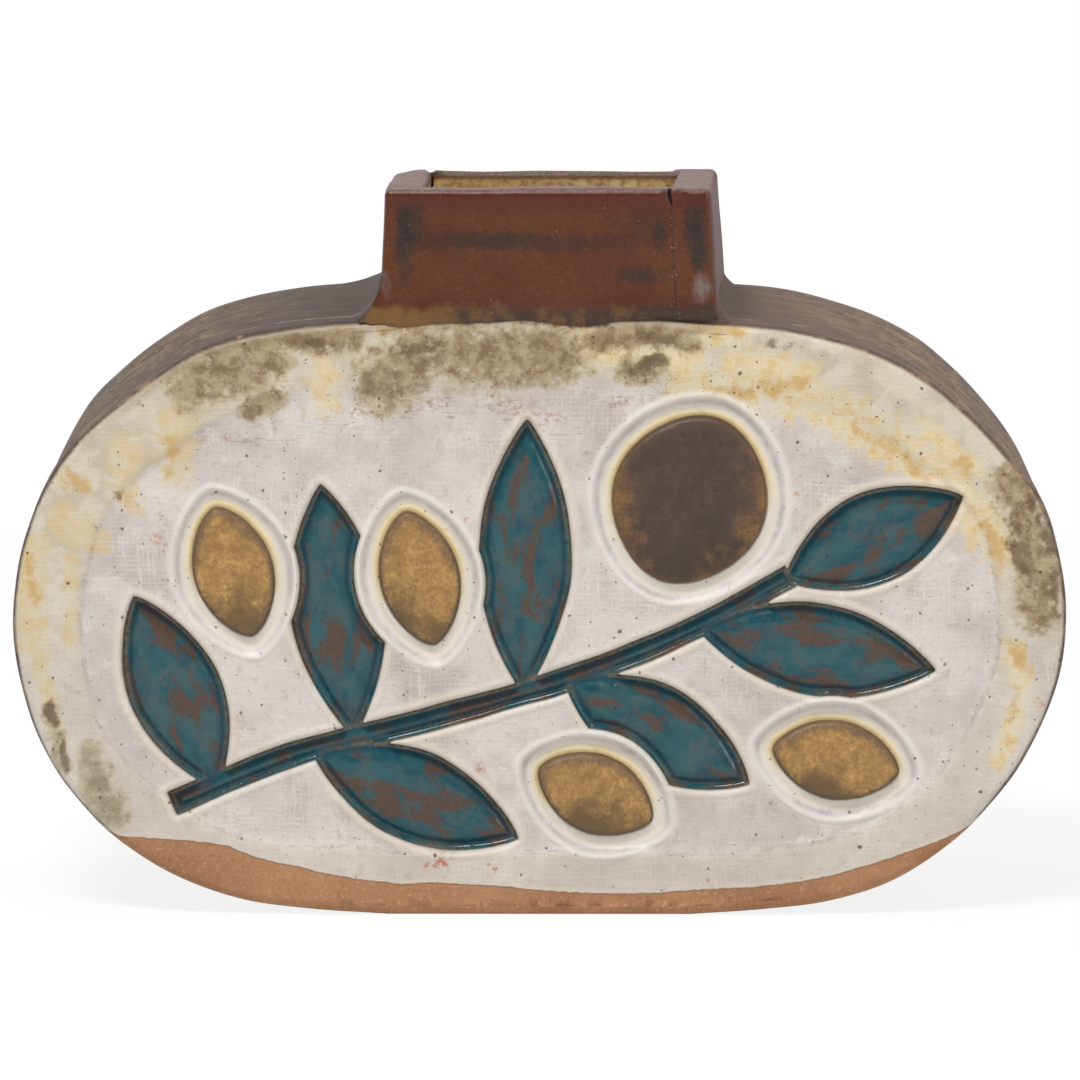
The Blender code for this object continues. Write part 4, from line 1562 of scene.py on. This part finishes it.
def iron_look():
    look = Look("iron_glaze")
    ragged = look.noise(0.0040, 4, 0.6) - 0.5
    fine = look.noise(0.0011, 4, 0.7)
    colour, roughness, height = low_iron(look)
    front = front_share(look)
    inside = look.attribute("inside")
    # Painted sheen: the top of the rim is coloured lilac-grey
    rim = (look.z + ragged * 0.002).step(RIM - 0.0016, RIM - 0.0002)
    under = look.z.step(RIM - 0.0060, RIM - 0.0024) * (1.0 - rim)
    lilac = look.mix((118, 95, 91), (88, 63, 57), fine.step(0.40, 0.62))
    mottled = look.layers(
        (190, 156, 100),
        ((130, 102, 66), fine.step(0.36, 0.70)),
        ((204, 178, 122), look.noise(0.005, 3).step(0.50, 0.7)),
    )

    # The seam in the front, with pits along it
    beside_seam = abs(look.x - (look.z * SEAM_LEAN + SEAM_X))
    seam = beside_seam.step(0.0010, 0.0005) * look.z.step(RIM - 0.0030, RIM - 0.0050)
    pits = look.specks(0.0011, 0.00040, 0.80, flat=True) * seam * front
    dotted = beside_seam.step(0.0006, 0.0001) * look.noise(0.0016, 3).step(0.40, 0.56)

    # The back of the rim, darker towards the mouth
    brim = look.y.step(0.020, 0.026) * look.x.step(NECK_LEFT + 0.0090, NECK_LEFT + 0.0120)
    brim = brim * look.x.step(NECK_RIGHT - 0.0090, NECK_RIGHT - 0.0120) * rim
    inner = (look.y + ragged * 0.002).step(-INNER_Y + 0.0075, -INNER_Y + 0.0040)
    dark_rim = look.mix((84, 62, 48), (116, 92, 62), fine.step(0.42, 0.62))
    # Painted sheen: faces that look right are coloured a pale mauve-grey
    sideways = facing(look, 0).step(0.5, 0.9)
    colour = look.layers(
        colour,
        # painted sheen on the rim's top
        (lilac, rim * 0.85),
        ((80, 34, 26), under * 0.5),
        (mottled, inside),
        ((156, 112, 88), look.specks(0.0040, 0.00034, 0.20, flat=True) * 0.45),
        ((150, 112, 100), pits * 0.60),
        ((48, 30, 26), dotted * front * 0.6),
        # painted sheen on the faces that look right
        ((112, 88, 86), sideways * (1.0 - inside) * 0.8),
        (dark_rim, brim * inner * 0.9),
    )
    rough = roughness + rim * 0.30 + inside * 0.30 + sideways * 0.40
    return look.finish(colour, rough, height, specular=0.35)


def fillet_look():
    """The walls' glaze, with the neck's glaze along the front edge."""
    look = Look("fillet_glaze")
    ragged = look.noise(0.0040, 4, 0.6) - 0.5
    at_end = (abs(look.y) + ragged * 0.0012).step(0.0394, 0.0400)
    return look.finish(*over(look, wall(look), (low_iron(look), at_end)), specular=0.30)


def tablet_look(name, pale, body, deep, rim):
    """A mottled glaze, deeper towards the foot of the tablet and greyer along its upper rim.
    Returns its look, colour, finest unevenness and height."""
    look = Look(name)
    fine = look.noise(0.0011, 5, 0.75)
    middle = look.noise(0.0036, 4, 0.65)
    above, inset = look.attribute("over"), look.attribute("inset")
    grains = fine * 0.6 + middle * 0.4
    low = above * 0.30 + look.noise(0.0110, 2) * 0.8 + fine * 0.3
    clouds = look.noise(0.0060, 4, 0.6) + (fine - 0.5) * 0.4
    edge = (inset + (grains - 0.5) * 4.4).step(above.step(-0.4, 0.8, 1.1, 3.6), 0.1)
    brink = (inset + (fine - 0.5) * 0.8).step(0.45, 0.0) * above.step(0.5, -0.2)
    colour = look.layers(
        body,
        (pale, grains.step(0.40, 0.70)),
        (deep, low.step(0.56, 0.26)),
        (deep, clouds.step(0.50, 0.68) * 0.55),
        (rim, edge * 0.80),
        ((92, 66, 40), brink),
        ((70, 52, 38), look.specks(0.0026, 0.0004, 0.35) * 0.5),
    )
    return look, colour, fine, middle * 0.8 + fine * 0.40


def pod_look():
    look, colour, _, height = tablet_look(
        "ochre_glaze", (192, 152, 94), (144, 110, 64), (102, 82, 54), (96, 80, 66),
    )
    return look.finish(colour, 0.42, height, specular=0.30)


def fruit_look():
    look, colour, fine, height = tablet_look(
        "brown_glaze", (86, 70, 62), (70, 55, 49), (66, 52, 44), (88, 70, 52),
    )
    cloud = (look.noise(0.0090, 5, 0.65) - 0.5) * 2.4
    sideways = abs(look.attribute("right")) + look.attribute("over") * -0.35 + cloud
    golden = sideways.step(0.45, 1.15) * fine.step(0.36, 0.58, 0.4, 1.0)
    colour = look.mix(colour, (136, 100, 52), golden * 0.75)
    return look.finish(colour, 0.42, height, specular=0.35)


def clay_look():
    look = Look("bare_clay")
    return look.finish(*clay(look))


# Stage

def make_stage():
    """A pale floor that shows white to the camera and in reflections, and whiter further away."""
    bpy.ops.mesh.primitive_plane_add(size=60)
    floor = bpy.context.object
    floor.name = "floor"
    look = Look("floor_white")
    path = look.node("ShaderNodeLightPath").outputs
    seen = look.most(path["Is Camera Ray"], path["Is Transmission Ray"])
    away = look.node("ShaderNodeVectorMath", {"operation": "LENGTH"}, Vector=look.place)
    whiter = look.wire(
        "ShaderNodeMapRange", "Result", Value=away.outputs["Value"], From_Min=0.25, From_Max=0.9,
        To_Min=0.86, To_Max=1.0,
    )
    share = look.most(seen, path["Is Glossy Ray"]) * whiter
    diffuse = look.node("ShaderNodeBsdfDiffuse", Color=(0.9, 0.9, 0.9, 1)).outputs[0]
    glow = look.node("ShaderNodeEmission", Color=(1, 1, 1, 1)).outputs[0]
    blend = look.in_order(look.node("ShaderNodeMixShader"), share, diffuse, glow).outputs[0]
    look.node("ShaderNodeOutputMaterial", Surface=blend)
    floor.data.materials.append(look.material)


def aimed(name, data, place, target):
    """An object at a place, turned towards a target."""
    made = bpy.data.objects.new(name, data)
    made.location = place
    made.rotation_euler = (Vector(target) - Vector(place)).to_track_quat("-Z", "Y").to_euler()
    bpy.context.scene.collection.objects.link(made)
    return made


def make_light():
    """A world that looks white and lights softly, more so from behind, and the lamps."""
    world = bpy.data.worlds.new("studio")
    bpy.context.scene.world = world
    world.use_nodes = True
    sky = Nodes(world.node_tree)
    path = sky.node("ShaderNodeLightPath").outputs
    place = sky.node("ShaderNodeTexCoord").outputs["Generated"]
    depth = sky.node("ShaderNodeSeparateXYZ", Vector=place).outputs["Y"]
    behind = sky.wire("ShaderNodeMapRange", "Result", Value=depth, From_Min=-0.3, From_Max=0.3)
    seen = sky.most(path["Is Camera Ray"], path["Is Transmission Ray"])
    white = sky.most(seen, sky.math("MULTIPLY", path["Is Glossy Ray"], behind))
    backward = sky.wire("ShaderNodeMapRange", "Result", Value=depth, From_Min=0.25)
    soft = backward * BACK_LEVEL + WORLD_LEVEL
    background = world.node_tree.nodes["Background"].inputs
    sky.set(background["Strength"], white * (1.0 - soft) + soft)
    sky.set(background["Color"], (1, 1, 1, 1))
    for name, (place, target, size, power) in LAMPS.items():
        lamp = bpy.data.lights.new(name, "AREA")
        lamp.shape = "RECTANGLE"
        lamp.size, lamp.size_y = size
        lamp.energy = power
        aimed(name, lamp, place, target)


def make_camera():
    camera = bpy.data.cameras.new("camera")
    camera.sensor_width = SENSOR_MM
    camera.lens = FOCAL_PIXELS * SENSOR_MM / PHOTO_SIZE
    bpy.context.scene.camera = aimed("camera", camera, CAMERA_PLACE, CAMERA_TARGET)


def paint(piece, material):
    piece.data.materials.clear()
    piece.data.materials.append(material)


def dress(piece, material):
    paint(piece, material)


def main():
    bpy.context.scene.view_settings.view_transform = "Standard"
    make_camera()
    make_light()
    make_stage()
    dress(make_front_slab(), front_look())
    dress(make_back_slab(), back_look())
    walls, bare, iron_glaze, corner_glaze = wall_look(), clay_look(), iron_look(), fillet_look()
    right, left, base = make_strips()
    dress(right, walls)
    dress(left, walls)
    dress(base, bare)
    for coil in ("front_seam_coil", "back_seam_coil"):
        paint(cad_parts[coil], bare)
    for slab in make_neck():
        dress(slab, iron_glaze)
    for node, side, size in (
        ("left_shoulder_fillet", -1, LEFT_FILLET), ("right_shoulder_fillet", 1, RIGHT_FILLET),
    ):
        dress(make_fillet(node, side, *size), corner_glaze)
    looks = {"brown_glaze": fruit_look(), "ochre_glaze": pod_look()}
    for node in TABLETS:
        slot = "brown_glaze" if node == "fruit_tablet" else "ochre_glaze"
        dress(make_tablet(node), looks[slot])


main()
